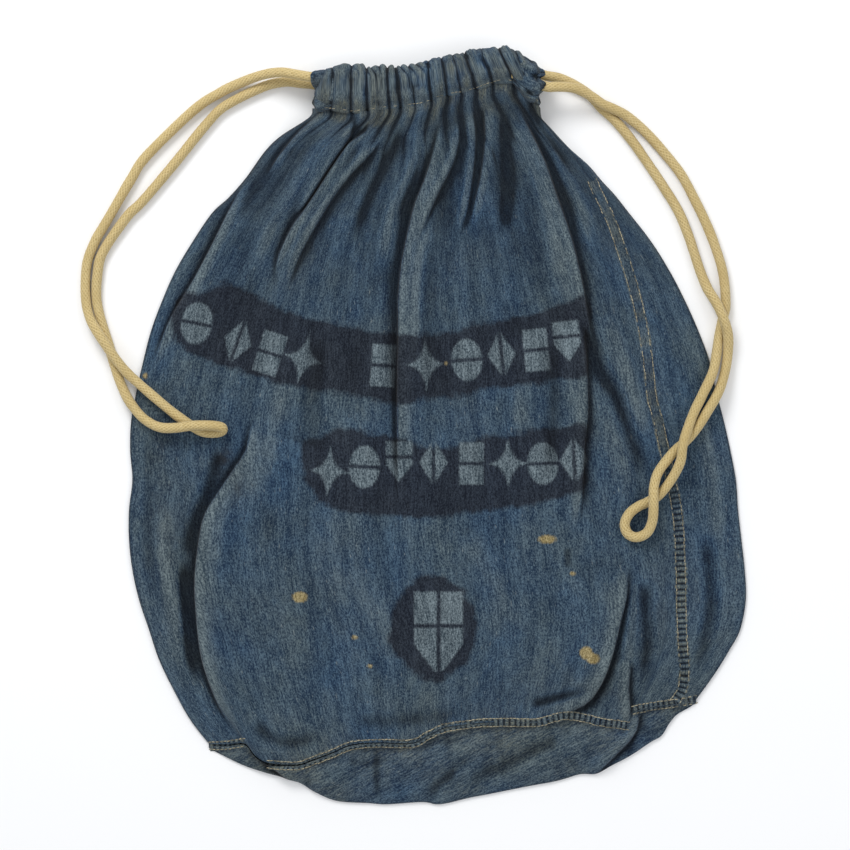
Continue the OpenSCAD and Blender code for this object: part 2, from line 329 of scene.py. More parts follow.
def join_meshes(name, parts):
    """One mesh from many (vertices, faces) parts, in mm."""
    verts, faces, at = [], [], 0
    for v, f in parts:
        verts.append(v)
        faces.extend([[k + at for k in face] for face in f])
        at += len(v)
    mesh = bpy.data.meshes.new(name)
    mesh.from_pydata((np.vstack(verts) * MM).tolist(), [], faces)
    return mesh


def clip_wear_and_shading(wear_and_shading):
    return np.clip(wear_and_shading, -WEAR_AND_SHADING_LIMIT, WEAR_AND_SHADING_LIMIT)


def cloth(name, points, flat, fields, slot, nodes, **closed):
    """A piece of denim from a grid of places."""
    return make_object(name, grid_mesh(name, points, flat, fields, **closed), DENIM, "sack", nodes)


# ---------------------------------------------------------------- materials

def denim_material():
    """Indigo twill: slubby streaks along the warp, pale weft showing through, faded where it is rubbed."""
    sh = Shader("worn_denim")
    streak = sh.cloth_noise(640, 95, 3, 0.66, 0)
    broad = sh.cloth_noise(120, 14, 2, 0.5, 3)
    speck = sh.cloth_noise(760, 500, 2, 0.8, 5)
    cloud = sh.cloth_noise(13, 10, 5, 0.66, 9)
    slub = sh.cloth_noise(480, 110, 2, 0.6, 12)
    ragged = sh.times(sh.plus(sh.cloth_noise(260, 160, 4, 0.7, 21), -0.5), 9)
    frayed = sh.times(sh.plus(sh.cloth_noise(700, 350, 2, 0.6, 25), -0.5), 3.4)
    wear_and_shading, grime, stain_and_hole_shade, band, mark, spot = [sh.attribute(key) for key in PLAIN_CLOTH]
    tone = sh.plus(sh.plus(sh.times(streak, 0.32), sh.times(speck, 0.52)), sh.times(broad, 0.16))
    tone = sh.ramp(tone, 0.445, 0.595)

    def over(amount, below, dark, pale):
        """Lays a colour, mottled from dark to pale, over what is below."""
        return sh.mix(amount, below, sh.mix(tone, dark, pale))

    base = sh.mix(tone, (0.0085, 0.0215, 0.046), (0.100, 0.145, 0.185))
    base = sh.mix(sh.ramp(cloud, 0.35, 0.65), sh.tinted(base, (0.72, 0.92, 1.10)),
                  sh.tinted(base, (1.16, 1.08, 0.92)))
    base = sh.mix(sh.times(sh.ramp(slub, 0.64, 0.74), 0.6), base, (0.27, 0.31, 0.31))
    # Above zero the cloth is drawn paler: rubbed wear, and painted highlight on ridges and gathers.
    rubbed_and_lit = sh.ramp(wear_and_shading, 0, WEAR_AND_SHADING_LIMIT, 0, 0.85)
    base = over(rubbed_and_lit, base, (0.034, 0.054, 0.070), (0.200, 0.252, 0.266))
    dirty = sh.times(grime, sh.ramp(streak, 0.3, 0.62), clamp=True)
    base = over(sh.times(dirty, 0.68), base, (0.050, 0.050, 0.032), (0.205, 0.190, 0.115))
    # Stains, and the painted shade inside a hole.
    base = sh.mix(sh.times(stain_and_hole_shade, 0.8, clamp=True), base, (0.018, 0.018, 0.02))
    painted = sh.ramp(sh.plus(band, ragged), 2.2, -2.6)
    base = over(sh.times(painted, 0.9), base, (0.0045, 0.006, 0.011), (0.029, 0.036, 0.051))
    marked = sh.ramp(sh.plus(mark, frayed), 0.9, -1.1)
    base = over(sh.times(marked, 0.95), base, (0.030, 0.046, 0.060), (0.215, 0.268, 0.292))
    spotted = sh.ramp(sh.plus(spot, frayed), 0.8, -1.2)
    base = over(spotted, base, (0.14, 0.105, 0.04), (0.44, 0.36, 0.19))
    # Below zero the colour is painted darker, as shade in hollows, creases and valleys.
    shaded = sh.ramp(wear_and_shading, 0, -WEAR_AND_SHADING_LIMIT, 0, 0.93)
    base = sh.mix(shaded, base, sh.tinted(base, (0.13, 0.13, 0.14)))
    twill = sh.node("TexWave", {"Vector": sh.stretched(560, 300), "Scale": 1, "Distortion": 1.2},
                    wave_type="BANDS", bands_direction="DIAGONAL").outputs["Fac"]
    surface = {"Base Color": base, "Roughness": 0.88, "Specular IOR Level": 0.12, "Sheen Weight": 0.08,
               "Sheen Roughness": 0.5}
    return sh.finish(surface, sh.plus(sh.times(twill, 0.35), sh.times(tone, 0.65)), 0.55, 0.0005)


def cord_material():
    """Braided cotton, yellowed: two sets of strands crossing round the cord, painted darker between them as
    shade.
    """
    sh = Shader("cotton_braid")
    around, along, _ = sh.node("SeparateXYZ", [sh.flat_place()]).outputs
    turns = sh.times(around, BRAID_TURNS * math.tau)
    run = sh.times(along, math.tau / (BRAID_PITCH * MM))
    one = sh.math("SINE", sh.plus(run, turns))
    two = sh.math("SINE", sh.math("SUBTRACT", run, turns))
    raised = sh.ramp(sh.math("MAXIMUM", one, sh.times(two, 0.4)), -0.4, 0.8)
    fibre = sh.noise(sh.stretched(30, 420, 0.05), octaves=4)
    patch = sh.noise(sh.object_place(), 38, 3)
    # Raised strands pale; the grooves between them painted darker, as shade.
    colour = sh.mix(raised, (0.36, 0.25, 0.092), (0.60, 0.465, 0.215))
    colour = sh.mix(sh.ramp(fibre, 0.42, 0.66, 0, 0.6), colour, (0.67, 0.55, 0.30))
    colour = sh.mix(sh.ramp(patch, 0.48, 0.7, 0, 0.5), colour, (0.46, 0.34, 0.14))
    surface = {"Base Color": colour, "Roughness": 0.8, "Specular IOR Level": 0.2, "Sheen Weight": 0.15}
    return sh.finish(surface, sh.plus(raised, sh.times(fibre, 0.5)), 0.7, 0.0006)


def thread_material():
    """Tan thread, dirty in patches."""
    sh = Shader("tan_thread")
    patch = sh.noise(sh.object_place(), 160)
    colour = sh.mix(sh.ramp(patch, 0.35, 0.65), (0.13, 0.115, 0.075), (0.46, 0.40, 0.27))
    return sh.finish({"Base Color": colour, "Roughness": 0.7}, patch, 0.3, 0.0002)


# How many strands of the braid go round the cord, and how far along it they repeat, in mm.
BRAID_TURNS, BRAID_PITCH = 10, 4.4
DENIM = denim_material()
BRAID = cord_material()
THREAD = thread_material()


# ---------------------------------------------------------------- drawcords

CORD_D = 9.0
# The height of a cord's centre where it lies on the floor; a place of a loop that gives none is there.
CORD_ON_FLOOR = 4.7
LEFT_EXIT, RIGHT_EXIT = -112, 97
# Each cord's lanes in the casing, in Y and Z, at the two ends of its loop.
LEFT_LANES = [(314.5, 27), (310.5, 7.5)]
RIGHT_LANES = [(306, 27), (318.5, 7)]
LEFT_LOOP = [
    (-122, 316, 26), (-140, 319.5, 21), (-158, 318, 14.5), (-177, 312, 8.5), (-197, 303, 5.2), (-221, 287),
    (-263, 246), (-277, 225), (-299, 187), (-309, 170), (-316, 152), (-318, 133), (-317, 113, 5),
    (-313, 99, 8.5), (-306, 87, 12.5), (-298, 75, 14.2), (-289, 62, 13.5), (-280, 51, 12.5), (-268, 40, 13),
    (-254, 28, 15), (-237, 14, 16.2), (-223, 4, 16.4), (-211, -2.5, 16.8), (-201, -3.5, 17),
    (-194.6, -2.2, 19.2), (-192.8, 0.4, 22.4), (-196, 2.2, 25), (-205, 3.2, 26.2), (-220, 3, 26),
    (-236, 1, 22.5), (-251, 2, 18), (-265, 10, 14.4), (-277, 24, 10.8), (-285, 39, 6.8), (-291, 55),
    (-297, 76), (-304, 98), (-308, 118), (-307, 141), (-302, 160), (-281, 191), (-266, 206), (-238, 239),
    (-208, 276), (-191, 292), (-158, 308.5), (-138, 313, 5.2), (-122, 311.5, 7)]
RIGHT_LOOP = [
    (108, 306, 26.5), (122, 305, 23), (136, 299.5, 17.5), (148, 292, 14.2), (160, 287, 11),
    (172, 280.5, 7.5), (188, 267, 4.9), (205, 248), (219, 230), (230, 210), (242, 185), (251, 162),
    (257.5, 138), (259.5, 112), (256.5, 98), (253.5, 84), (251, 68, 7.8), (247, 51, 12.8), (237, 30, 16.2),
    (229, 14, 19), (222.5, -2, 25), (218.5, -15, 28.2), (217, -28, 25.6), (212, -40, 22.2),
    (205, -51, 20.3), (197, -60, 18.4), (188, -65.5, 18.1), (179.5, -69.5, 18.2), (171.5, -76, 18.4),
    (167.5, -85, 18.6), (170, -93.5, 18.7), (178, -97, 18.9), (187, -93, 20.4), (191.5, -83.5, 23.4),
    (192.5, -73, 26.4), (192.5, -62, 27.6), (193, -51, 26), (197, -39, 22.5), (205, -28, 20.2),
    (214, -18, 18.8), (224, -9, 18.1), (233, 2, 17), (242, 16, 15), (252, 33, 12.4), (258, 50, 8.4),
    (261, 67, 6.6), (261, 84, 10.5), (257, 98, 14.2), (251, 112, 12.5), (243, 126, 8), (237, 141),
    (232, 156), (225, 177), (216, 198), (203, 219), (189, 240), (175, 260), (160, 278), (148, 289),
    (138, 300), (125, 309, 5.5), (110, 316, 6.6)]


# Inside the casing each cord goes on along the front, round the far side and back along the rear.
LEFT_RUN = [
    (-83, 313.5, 27), (-60, 312, 26.6), (-20, 314, 26.4), (20, 321, 26.4), (50, 325, 25.6), (64, 323.5, 25),
    (80, 320, 24), (86, 316, 17.5), (80, 313, 9.5), (62, 317, 7), (40, 314, 7), (10, 308, 7), (-20, 303, 7),
    (-50, 300, 7), (-83, 305, 7)]
RIGHT_RUN = [
    (72, 316, 26.4), (50, 316.5, 26.4), (20, 311, 26.4), (-20, 303, 26.4), (-60, 301, 26.4),
    (-78, 303, 26.4), (-96, 303, 25), (-102, 305, 17.5), (-96, 308, 9.5), (-75, 309, 7), (-55, 310, 7),
    (-20, 312, 7), (10, 318, 7), (40, 325.5, 7), (72, 326, 7)]


def cord_line(exit_x, lanes, loop, run):
    """The whole route of a free loop, with its ends carried on to meet its run in the casing."""
    front, back = [(exit_x,) + lanes[k] for k in (0, 1)]

    def halfway(a, b):
        return tuple((p + q) / 2 for p, q in zip(a, b))

    seen = [place + (CORD_ON_FLOOR,) * (3 - len(place)) for place in loop]
    return [run[0], halfway(run[0], front), front] + seen + [back, halfway(back, run[-1]), run[-1]]


def tube(name, line, radius, sides, step):
    """A tube of rings along a smooth line, with UVs that run round it and along it."""
    total = distances(catmull(line, np.linspace(0, 1, 3000)))[-1]
    rings = int(total / step)
    path = evenly(line, rings)
    along = np.gradient(path, axis=0)
    along /= np.linalg.norm(along, axis=1)[:, None]
    across = np.zeros_like(path)
    frame_x = np.array([0.0, 0.0, 1.0])
    for k in range(rings):
        frame_x = frame_x - along[k] * (frame_x @ along[k])
        frame_x /= np.linalg.norm(frame_x)
        across[k] = frame_x
    up = np.cross(along, across)
    angle = np.linspace(0, math.tau, sides + 1)
    run = np.linspace(0, total, rings)
    swell = (1 + 0.035 * noise(run / 16, run * 0, 31)[:, None]
             + 0.02 * noise(run[:, None] / 5, angle[None] * 1.5, 32))
    phase = run[:, None] * math.tau / BRAID_PITCH
    braid = np.maximum(np.sin(phase + BRAID_TURNS * angle[None]), np.sin(phase - BRAID_TURNS * angle[None]))
    r = (radius - 0.12) * swell + 0.12 * braid
    pts = (path[:, None] + r[..., None] * (np.cos(angle)[None, :, None] * across[:, None]
                                           + np.sin(angle)[None, :, None] * up[:, None]))
    flat = np.stack(np.broadcast_arrays(angle[None] / math.tau / MM, run[:, None]), -1)
    return grid_mesh(name, pts, flat), path, total


def add_cord(side, exit_x, lanes, loop, run):
    """A drawcord's free loop, which slides, and its hidden run, which stays in the casing."""
    line = cord_line(exit_x, lanes, loop, run)
    mesh, path, total = tube(f"{side}_cord", line, CORD_D / 2, 48, detail(0.5))
    obj = make_object(f"{side}_cord", mesh, BRAID, f"{side}_drawcord", [f"{side}_drawcord_loop"])
    hidden, _, _ = tube(f"{side}_cord_run", run, CORD_D / 2 - 0.2, 24, 1.5)
    make_object(f"{side}_cord_run", hidden, BRAID, "sack", [f"{side}_drawcord_run"])
    return path


CORD_PATHS = [add_cord("left", LEFT_EXIT, LEFT_LANES, LEFT_LOOP, LEFT_RUN),
              add_cord("right", RIGHT_EXIT, RIGHT_LANES, RIGHT_LOOP, RIGHT_RUN)]


# ---------------------------------------------------------------- the outline of the flattened sack

# From the casing's stitch line down each side to the bottom seam's ends.
LEFT_SIDE = [
    (-113, 288), (-116, 280), (-141, 265), (-156, 251), (-174, 226), (-189, 209), (-204, 195), (-221, 170),
    (-237, 143), (-249, 116), (-259, 89), (-266, 62), (-272, 35), (-277, 8), (-278, -19), (-276, -46),
    (-279, -73), (-279, -100), (-276, -127), (-270, -154), (-261, -181), (-252, -208), (-239, -235),
    (-224, -262), (-207, -284)]
RIGHT_SIDE = [
    (92, 288), (94, 278), (107, 265), (121, 251), (136, 238), (148, 224), (160, 211), (171, 197),
    (192, 170), (209, 143), (223, 116), (235, 89), (245, 62), (251, 35), (258, 8), (264, -19), (269, -46),
    (271, -73), (274, -100), (277, -127), (278, -154), (273, -181), (263, -200), (250, -221), (232, -246)]
STITCH_LINE = [
    (-113, 288), (-94, 285), (-75, 283), (-50, 286), (-30, 288), (-12, 291), (5, 297), (25, 301), (38, 305),
    (55, 310), (68, 309), (80, 301), (92, 288)]
BOTTOM_SEAM = [
    (-207, -286), (-190, -286), (-174, -285), (-164, -296), (-152, -302), (-127, -303), (-111, -298),
    (-95, -292), (-78, -285), (-54, -283), (-23, -283), (-9, -276), (7, -269), (36, -265), (62, -264),
    (88, -264), (101, -261), (115, -258), (131, -260), (148, -264), (168, -267), (176, -256), (192, -250),
    (214, -248), (232, -245)]
BOTTOM_EDGE = [
    (-207, -288), (-196, -294), (-175, -304), (-154, -311), (-128, -318), (-111, -328), (-91, -336),
    (-62, -338), (-46, -339), (-14, -337), (2, -339), (29, -333), (45, -330), (80, -323), (107, -318),
    (128, -312), (143, -311), (157, -304), (174, -295), (192, -283), (202, -277), (209, -266), (216, -258),
    (228, -251), (233, -247)]
BACK_SEAM = [
    (-207, -284), (-222, -210), (-208, -115), (-150, -35), (-65, 5), (20, 12), (105, -2), (180, -52),
    (225, -130), (241, -205), (233, -246)]
CLOTH_WIDE, CLOTH_LONG = 556, 590


def coons(s, t):
    """Places on the flattened front, s from the left side to the right and t from the stitch line down."""
    n = 401
    at = np.linspace(0, 1, n)
    left, right = evenly(LEFT_SIDE, n), evenly(RIGHT_SIDE, n)
    top, bottom = evenly(STITCH_LINE, n), evenly(BOTTOM_SEAM, n)

    def pick(rail, u):
        return np.stack([np.interp(u, at, rail[:, k]) for k in range(2)], -1)

    s3, t3 = s[..., None], t[..., None]
    return ((1 - s3) * pick(left, t) + s3 * pick(right, t) + (1 - t3) * pick(top, s) + t3 * pick(bottom, s)
            - (1 - s3) * (1 - t3) * top[0] - s3 * (1 - t3) * top[-1] - (1 - s3) * t3 * bottom[0]
            - s3 * t3 * bottom[-1])


# ---------------------------------------------------------------- gathers

# Each gather of the mouth: where it crosses the stitch line as a share of the width, where it meets the top
# edge in X and Y, how high it stands in mm, and how far it runs down the cloth.
GATHERS = [
    (0.04, -100, 322, 2.4, 40), (0.122, -87, 325, 3.0, 70), (0.205, -68, 325, 3.4, 50),
    (0.26, -60, 322, 3.0, 40), (0.302, -51, 324, 3.6, 60), (0.344, -41, 323.5, 3.4, 60),
    (0.395, -33, 323, 3.8, 60), (0.463, -18, 326, 3.8, 110), (0.534, -2, 331, 3.8, 60),
    (0.598, 9, 333, 3.4, 50), (0.654, 18, 334, 4.2, 100), (0.72, 29, 338, 4.4, 80),
    (0.805, 46, 340, 4.4, 70), (0.902, 61, 341, 4.0, 80), (0.978, 75, 335, 3.0, 50)]
# How deep each valley is, from the left end, between the gathers, to the right end.
VALLEYS = [0.5, 0.8, 0.85, 1.0, 0.3, 0.75, 1.0, 0.5, 0.9, 1.0, 0.6, 0.9, 0.75, 1.0, 0.7, 0.5]
# How square the top of each gather is.
BULGES = [1.5, 2.6, 2.0, 1.5, 1.8, 1.4, 2.0, 2.4, 2.2, 1.4, 1.6, 1.9, 2.5, 2.8, 1.8]


def gather_profile(s, across=0.0):
    """Rounded gathers with valleys between them, from 0 to 1, with each one's height and reach. Where across is
    not 0, the valleys wander."""
    centres = np.array([g[0] for g in GATHERS])
    edges = np.r_[0, (centres[1:] + centres[:-1]) / 2, 1]
    s = np.clip(s + across, 0, 1)
    k = np.clip(np.searchsorted(edges, s, side="right") - 1, 0, len(centres) - 1)
    middle, half = (edges[k] + edges[k + 1]) / 2, (edges[k + 1] - edges[k]) / 2
    q = np.clip(np.abs(s - middle) / half, 0, 1)
    depth = np.array(VALLEYS)[np.where(s < middle, k, k + 1)]
    bulge = np.array(BULGES)[k]
    rise, reach = np.array([g[3] for g in GATHERS]), np.array([g[4] for g in GATHERS])
    return 1 - depth * (1 - (1 - q**bulge) ** 0.6), np.interp(s, centres, rise), np.interp(s, centres, reach)


# ---------------------------------------------------------------- creases of the body

# Each step: its line from the top down, its high side, height, how far it falls off, the lip it overhangs by,
# how dark the painted shade at its foot is, and how wide that painted shade beside it is at its top and at its
# bottom, in mm.
STEPS = [
    ([(-171, 228), (-188, 192), (-206, 156), (-220, 130), (-236, 104), (-250, 74), (-262, 44)],
     "east", 5.0, 26, 2.5, 0.9, 15, 5),
    ([(-160, 16), (-168, 0), (-172, -22), (-191, -52), (-206, -75), (-211, -92), (-216, -133), (-215, -165),
      (-211, -202), (-202, -233), (-193, -254), (-180, -273), (-168, -292)], "east", 6.5, 34, 3.0, 1.0, 5, 14),
    ([(4, 284), (-4, 245), (-11, 222), (-19, 202), (-23, 187), (-28, 165), (-32, 142), (-34, 116), (-34, 82),
      (-35, 0), (-35, -84)], "east", 5.5, 16, 2.0, 1.3, 15, 2.5),
    ([(130, 100), (132, 59), (133, 14), (130, -15), (128, -60), (124, -96)], "west", 4.0, 22, 1.5, 0.8, 5, 9),
    ([(170, -120), (168, -145), (162, -172), (155, -201), (146, -226), (130, -247), (94, -262)],
     "west", 6.5, 26, 2.5, 1.1, 6, 14),
    ([(172, -205), (170, -230), (171, -250), (172, -268)], "west", 4.0, 9, 1.5, 0.7, 5, 7),
    ([(-57, 284), (-64, 266), (-79, 255), (-90, 241), (-104, 219), (-117, 200), (-128, 184), (-137, 167),
      (-144, 151), (-146, 128)], "east", 4.5, 7, 1.5, 1.3, 8, 4),
    ([(-46, 266), (-60, 248), (-76, 232), (-92, 212), (-106, 190), (-119, 168), (-129, 146), (-138, 120)],
     "west", 3.5, 7, 1.0, 1.2, 13, 6),
    ([(72, 290), (77, 277), (86, 257), (96, 235), (104, 212), (112, 190), (120, 165), (126, 140), (131, 116),
      (136, 92), (143, 70)], "west", 4.5, 14, 2.0, 1.3, 9, 6),
    ([(18, 278), (18, 262), (13, 240), (3, 220), (-7, 200), (-14, 182), (-20, 160)],
     "west", 3.5, 6, 1.5, 1.2, 10, 4),
    ([(29, 290), (32, 268), (32, 245), (29, 220), (25, 196), (18, 172)], "west", 3.5, 6, 1.2, 1.2, 9, 5),
    ([(41, 290), (43, 268), (42, 244), (38, 220), (32, 196), (26, 176)], "east", 3.5, 8, 1.2, 0.9, 6, 5),
    ([(-75, 282), (-79, 264), (-90, 246), (-101, 231), (-111, 215), (-121, 198), (-129, 178)],
     "west", 3.5, 9, 1.5, 1.3, 11, 6),
    ([(-99, 290), (-107, 280), (-122, 268), (-140, 248), (-156, 226)], "east", 3.0, 9, 1.2, 0.9, 6, 4),
]
# Each fold: its line, its height (below zero for a valley), and its width to the west and to the east, in mm.
FOLDS = [
    ([(2, 229), (-11, 188), (-20, 140), (-23, 100), (-24, 40)], 3.0, 6, 9),
    ([(-86, 283), (-93, 264), (-107, 246), (-121, 226), (-136, 203), (-150, 178), (-160, 150), (-164, 120)],
     3.0, 12, 8),
    ([(-12, 277), (-14, 251), (-26, 226), (-38, 200), (-46, 170), (-50, 130)], 3.5, 10, 12),
    ([(-32, 280), (-38, 256), (-52, 230), (-66, 200), (-78, 160)], -2.6, 6, 8),
    ([(-16, 262), (-18, 236), (-31, 205), (-38, 180)], -1.5, 4, 4),
    ([(-125, 262), (-150, 240), (-170, 212), (-186, 180)], -1.8, 8, 10),
    ([(61, 286), (72, 262), (82, 240), (92, 214), (100, 188), (108, 157), (115, 127), (119, 95)], 4.0, 13, 8),
    ([(56, 285), (60, 262), (62, 235), (62, 210), (58, 170)], -3.5, 6, 8),
    ([(85, 290), (94, 268), (106, 246), (118, 222), (130, 195), (142, 150)], 3.5, 7, 10),
    ([(78, 300), (92, 272), (110, 246), (126, 222)], -2.6, 4, 6),
    ([(129, 105), (141, 59), (159, 30), (174, -8), (187, -55)], -2.6, 8, 12),
    ([(150, 110), (166, 60), (180, 10), (190, -30)], 2.0, 12, 10),
    ([(116, -106), (117, -127)], -1.2, 3, 3),
    ([(-230, -113), (-228, -165), (-225, -200), (-216, -240)], -3.2, 6, 9),
    ([(-243, -60), (-246, -110), (-240, -160), (-230, -210)], 2.4, 10, 8),
    ([(-262, 10), (-262, -60), (-262, -120), (-250, -170)], -1.6, 9, 9),
    ([(-196, -10), (-204, -50), (-220, -90), (-228, -130)], -2.4, 9, 7),
    ([(-140, 80), (-144, 20), (-160, -40), (-172, -90)], 1.8, 14, 14),
    ([(-108, 90), (-112, 30), (-122, -40)], -1.2, 12, 14),
    ([(-78, 20), (-84, -60), (-90, -130)], 1.0, 16, 16),
    ([(70, 90), (74, 40), (72, -20)], 1.4, 12, 12),
    ([(100, 90), (104, 20), (100, -60)], -1.4, 9, 9),
    ([(80, -250), (112, -241), (143, -234)], -2.2, 4, 6),
    ([(-170, -262), (-140, -282), (-100, -276)], -1.6, 7, 9),
    ([(-80, -262), (-20, -262), (40, -250)], -1.3, 9, 9),
    ([(-100, -120), (-60, -160), (-30, -215)], 1.0, 14, 16),
    ([(20, -90), (50, -140), (60, -200)], 1.2, 16, 14),
    ([(232, 40), (244, -20), (252, -80), (258, -130)], 1.8, 10, 8),
    ([(240, -90), (246, -150), (240, -195), (226, -232)], -2.2, 8, 10),
    ([(185, -130), (188, -190), (182, -240)], -2.0, 7, 9),
    ([(176, -130), (172, -180), (168, -225)], 1.8, 7, 6),
]


def fade_ends(place):
    return smoothstep(place, 0.0, 0.2) * smoothstep(1 - place, 0.0, 0.3)


def near_line(x, y, line, reach):
    """The grid places within reach of a line, their distance and share along it, and the way to its left."""
    fine = spaced(line, 9, 6)
    lo, hi = fine.min(0) - reach, fine.max(0) + reach
    rows, cols = np.nonzero((x > lo[0]) & (x < hi[0]) & (y > lo[1]) & (y < hi[1]))
    d, place = along_line(x[rows, cols], y[rows, cols], fine)
    k = np.clip((place * (len(fine) - 1)).round().astype(int), 0, len(fine) - 1)
    return (rows, cols), d, place, headings(fine)[1][k]


def crease_relief(x, y, steps, folds):
    """Height of all the creases, the sideways shift that gives each step its lip, and the wear and painted
    light
    along them: painted shade at each step's foot and in the valleys, rubbed pale with painted highlight on the
    ridges."""
    z, rub_and_shade = np.zeros(x.shape), np.zeros(x.shape)
    shift = np.zeros(x.shape + (2,))
    for line, high, height, wide, lip, dark, shade_top, shade_end in steps:
        at, d, place, normal = near_line(x, y, line, 3 * max(wide, shade_top, shade_end))
        # Down the line, its left is the east.
        east = 1 if high == "east" else -1
        e, n = east * d, east * normal
        a = fade_ends(place)
        shade = (shade_top + (shade_end - shade_top) * place) * (0.3 + 0.7 * a)
        rise = height * smoothstep(e, -2.2, 2.8) * np.exp(-np.maximum(e - 2, 0) / wide)
        foot = np.exp(-np.maximum(-e - 2.5, 0) / (0.55 * shade)) * smoothstep(-e, -1.2, 1.6)
        z[at] += a * (rise - 0.35 * height * foot)
        shift[at] -= (a * lip * gauss(e - 1.0, 3.5))[:, None] * n
        # Painted highlight and wear along the lip's top; painted shade at the foot beside it.
        rub_and_shade[at] += a * (0.6 * gauss(e - 3.0, 3.0) - 1.25 * dark * foot)
    for line, height, west, east in folds:
        at, d, place, _ = near_line(x, y, line, 3 * max(west, east))
        a = fade_ends(place)
        width = np.where(d > 0, east, west)
        z[at] += a * height * gauss(d, width)
        # Valleys painted darker as shade, ridges drawn paler as painted highlight and wear.
        tint = 0.16 * height if height > 0 else 0.26 * height
        rub_and_shade[at] += a * np.clip(tint, -1.3, 0.6) * gauss(d, 0.7 * width)
    return z, shift, rub_and_shade


# ---------------------------------------------------------------- paint, marks and stains

BAND_ONE = [
    (-237, 116), (-217, 123), (-185, 132), (-158, 116), (-124, 103), (-79, 91), (-34, 85), (-7, 86),
    (38, 94), (74, 100), (110, 112), (133, 117), (134, 47), (110, 44), (56, 37), (2, 28), (-34, 23),
    (-88, 31), (-124, 37), (-178, 51), (-210, 62), (-234, 76), (-240, 95)]
BAND_TWO = [
    (-122, -14), (-113, -8), (-84, -1), (-34, -10), (2, -16), (56, -5), (110, 1), (132, 4), (134, -54),
    (110, -62), (56, -73), (11, -77), (-25, -80), (-61, -77), (-102, -68), (-117, -46), (-124, -30)]
# Ovals: centre in X and Y, and half width and half height. A stain's last number is its strength.
ROUNDEL = (-5, -179, 39, 47)
# Stencilled marks: place, turn in degrees, and shape. They are plain solid shapes, none of them a letter.
MARKS = [
    (-217, 95, -12, "disc"), (-180, 79, -20, "lozenge"), (-151, 68, -18, "block"), (-121, 63, -14, "star"),
    (-49, 57, -4, "block"), (-11, 58, 2, "star"), (26, 62, 4, "disc"), (57, 67, 6, "lozenge"),
    (88, 71, 6, "block"), (116, 77, 6, "point"), (-98, -38, -4, "star"), (-66, -34, -3, "disc"),
    (-35, -31, 0, "point"), (-4, -30, 0, "lozenge"), (30, -31, 0, "block"), (63, -31, 1, "star"),
    (94, -31, 2, "disc"), (122, -28, 2, "lozenge")]
SPOTS = [
    (-124, -151, 7, 5), (98, -99, 8, 4), (133, -201, 6, 6), (139, -206, 6, 5), (-75, -187, 2.6, 2),
    (-61, -213, 2.4, 1.8), (121, -130, 2.4, 2), (7, 59, 1.6, 1.6), (-156, 262, 2, 2), (-264, 48, 2.4, 2.4)]
# The small strong one at (116, -31) is a hole, painted dark as the shade inside it; the rest are stains.
STAINS_AND_HOLE_SHADE = [
    (-192, -28, 9, 14, 0.9), (-178, -52, 6, 16, 0.5), (-205, -8, 12, 6, 0.6), (-250, -40, 10, 60, 0.35),
    (-236, -10, 14, 10, 0.45), (116, -31, 3, 3, 1.6), (-150, -170, 40, 30, 0.16), (200, -150, 16, 60, 0.2),
    (150, -235, 40, 18, 0.25), (60, -240, 60, 22, 0.12), (-232, -100, 12, 50, 0.3)]


def box(u, v, w, h):
    return np.maximum(np.abs(u) - w, np.abs(v) - h)


def mark_shape(kind, u, v):
    """Signed distance from a mark 40 mm tall, below zero on it, with a stencil slit through it."""
    if kind == "block":
        d = box(u, v, 11, 19)
    elif kind == "lozenge":
        d = np.abs(u) * 0.86 + np.abs(v) * 0.52 - 11
    elif kind == "star":
        d = (np.sqrt(np.abs(u) / 15) + np.sqrt(np.abs(v) / 21) - 1) * 9 - 1.6
    elif kind == "point":
        d = np.maximum(box(u, v, 12, 20), np.abs(u) * 0.8 - v * 0.6 - 10)
    else:
        d = (np.hypot(u / 14, v / 19) - 1) * 16
    slit = {"block": np.abs(v), "lozenge": np.abs(u), "point": np.abs(v - 6), "disc": np.abs(v)}
    return np.maximum(d, 1.5 - slit[kind]) if kind in slit else d


def paint_fields(x, y):
    """Distances from the painted bands, from the marks on them and from the spots, and how stained it is, with
    the painted shade inside a hole.
    """
    band = in_polygon_distance(x, y, evenly(BAND_ONE + BAND_ONE[:1], 70)[:-1])
    band = np.minimum(band, in_polygon_distance(x, y, evenly(BAND_TWO + BAND_TWO[:1], 60)[:-1]))
    cx, cy, rx, ry = ROUNDEL
    band = np.minimum(band, (np.hypot((x - cx) / rx, (y - cy) / ry) - 1) * 40)
    mark = np.full(x.shape, 50.0)
    for mx, my, turn, kind in MARKS:
        c, s = math.cos(math.radians(turn)), math.sin(math.radians(turn))
        u, v = (x - mx) * c + (y - my) * s, -(x - mx) * s + (y - my) * c
        mark = np.minimum(mark, mark_shape(kind, u, v))
    # In the roundel, a plain shield cut in four.
    u, v = x - 0.5, y + 182
    shield = np.maximum(box(u, v, 22, 36), np.abs(u) * 0.8 - (v + 36) * 0.6 - 3)
    shield = np.maximum(shield, np.maximum(1.7 - np.abs(u), 1.7 - np.abs(v - 5)))
    mark = np.minimum(mark, shield)
    spot = np.full(x.shape, 50.0)
    for sx, sy, rx, ry in SPOTS:
        spot = np.minimum(spot, (np.hypot((x - sx) / rx, (y - sy) / ry) - 1) * min(rx, ry))
    stain_and_hole_shade = np.zeros(x.shape)
    for sx, sy, rx, ry, a in STAINS_AND_HOLE_SHADE:
        stain_and_hole_shade += a * gauss(x - sx, rx) * gauss(y - sy, ry)
    stain_and_hole_shade *= 0.75 + 0.5 * noise(x / 9, y / 9, 52) + 0.4 * noise(x / 3.5, y / 3.5, 53)
    band = band + 2.4 * noise(x / 15, y / 9, 54) + 1.4 * noise(x / 6, y / 5, 55)
    return np.clip(band, -30, 30), np.clip(mark, -20, 20), np.clip(spot, -10, 10), np.clip(stain_and_hole_shade, 0, 1)


# ---------------------------------------------------------------- body cloth

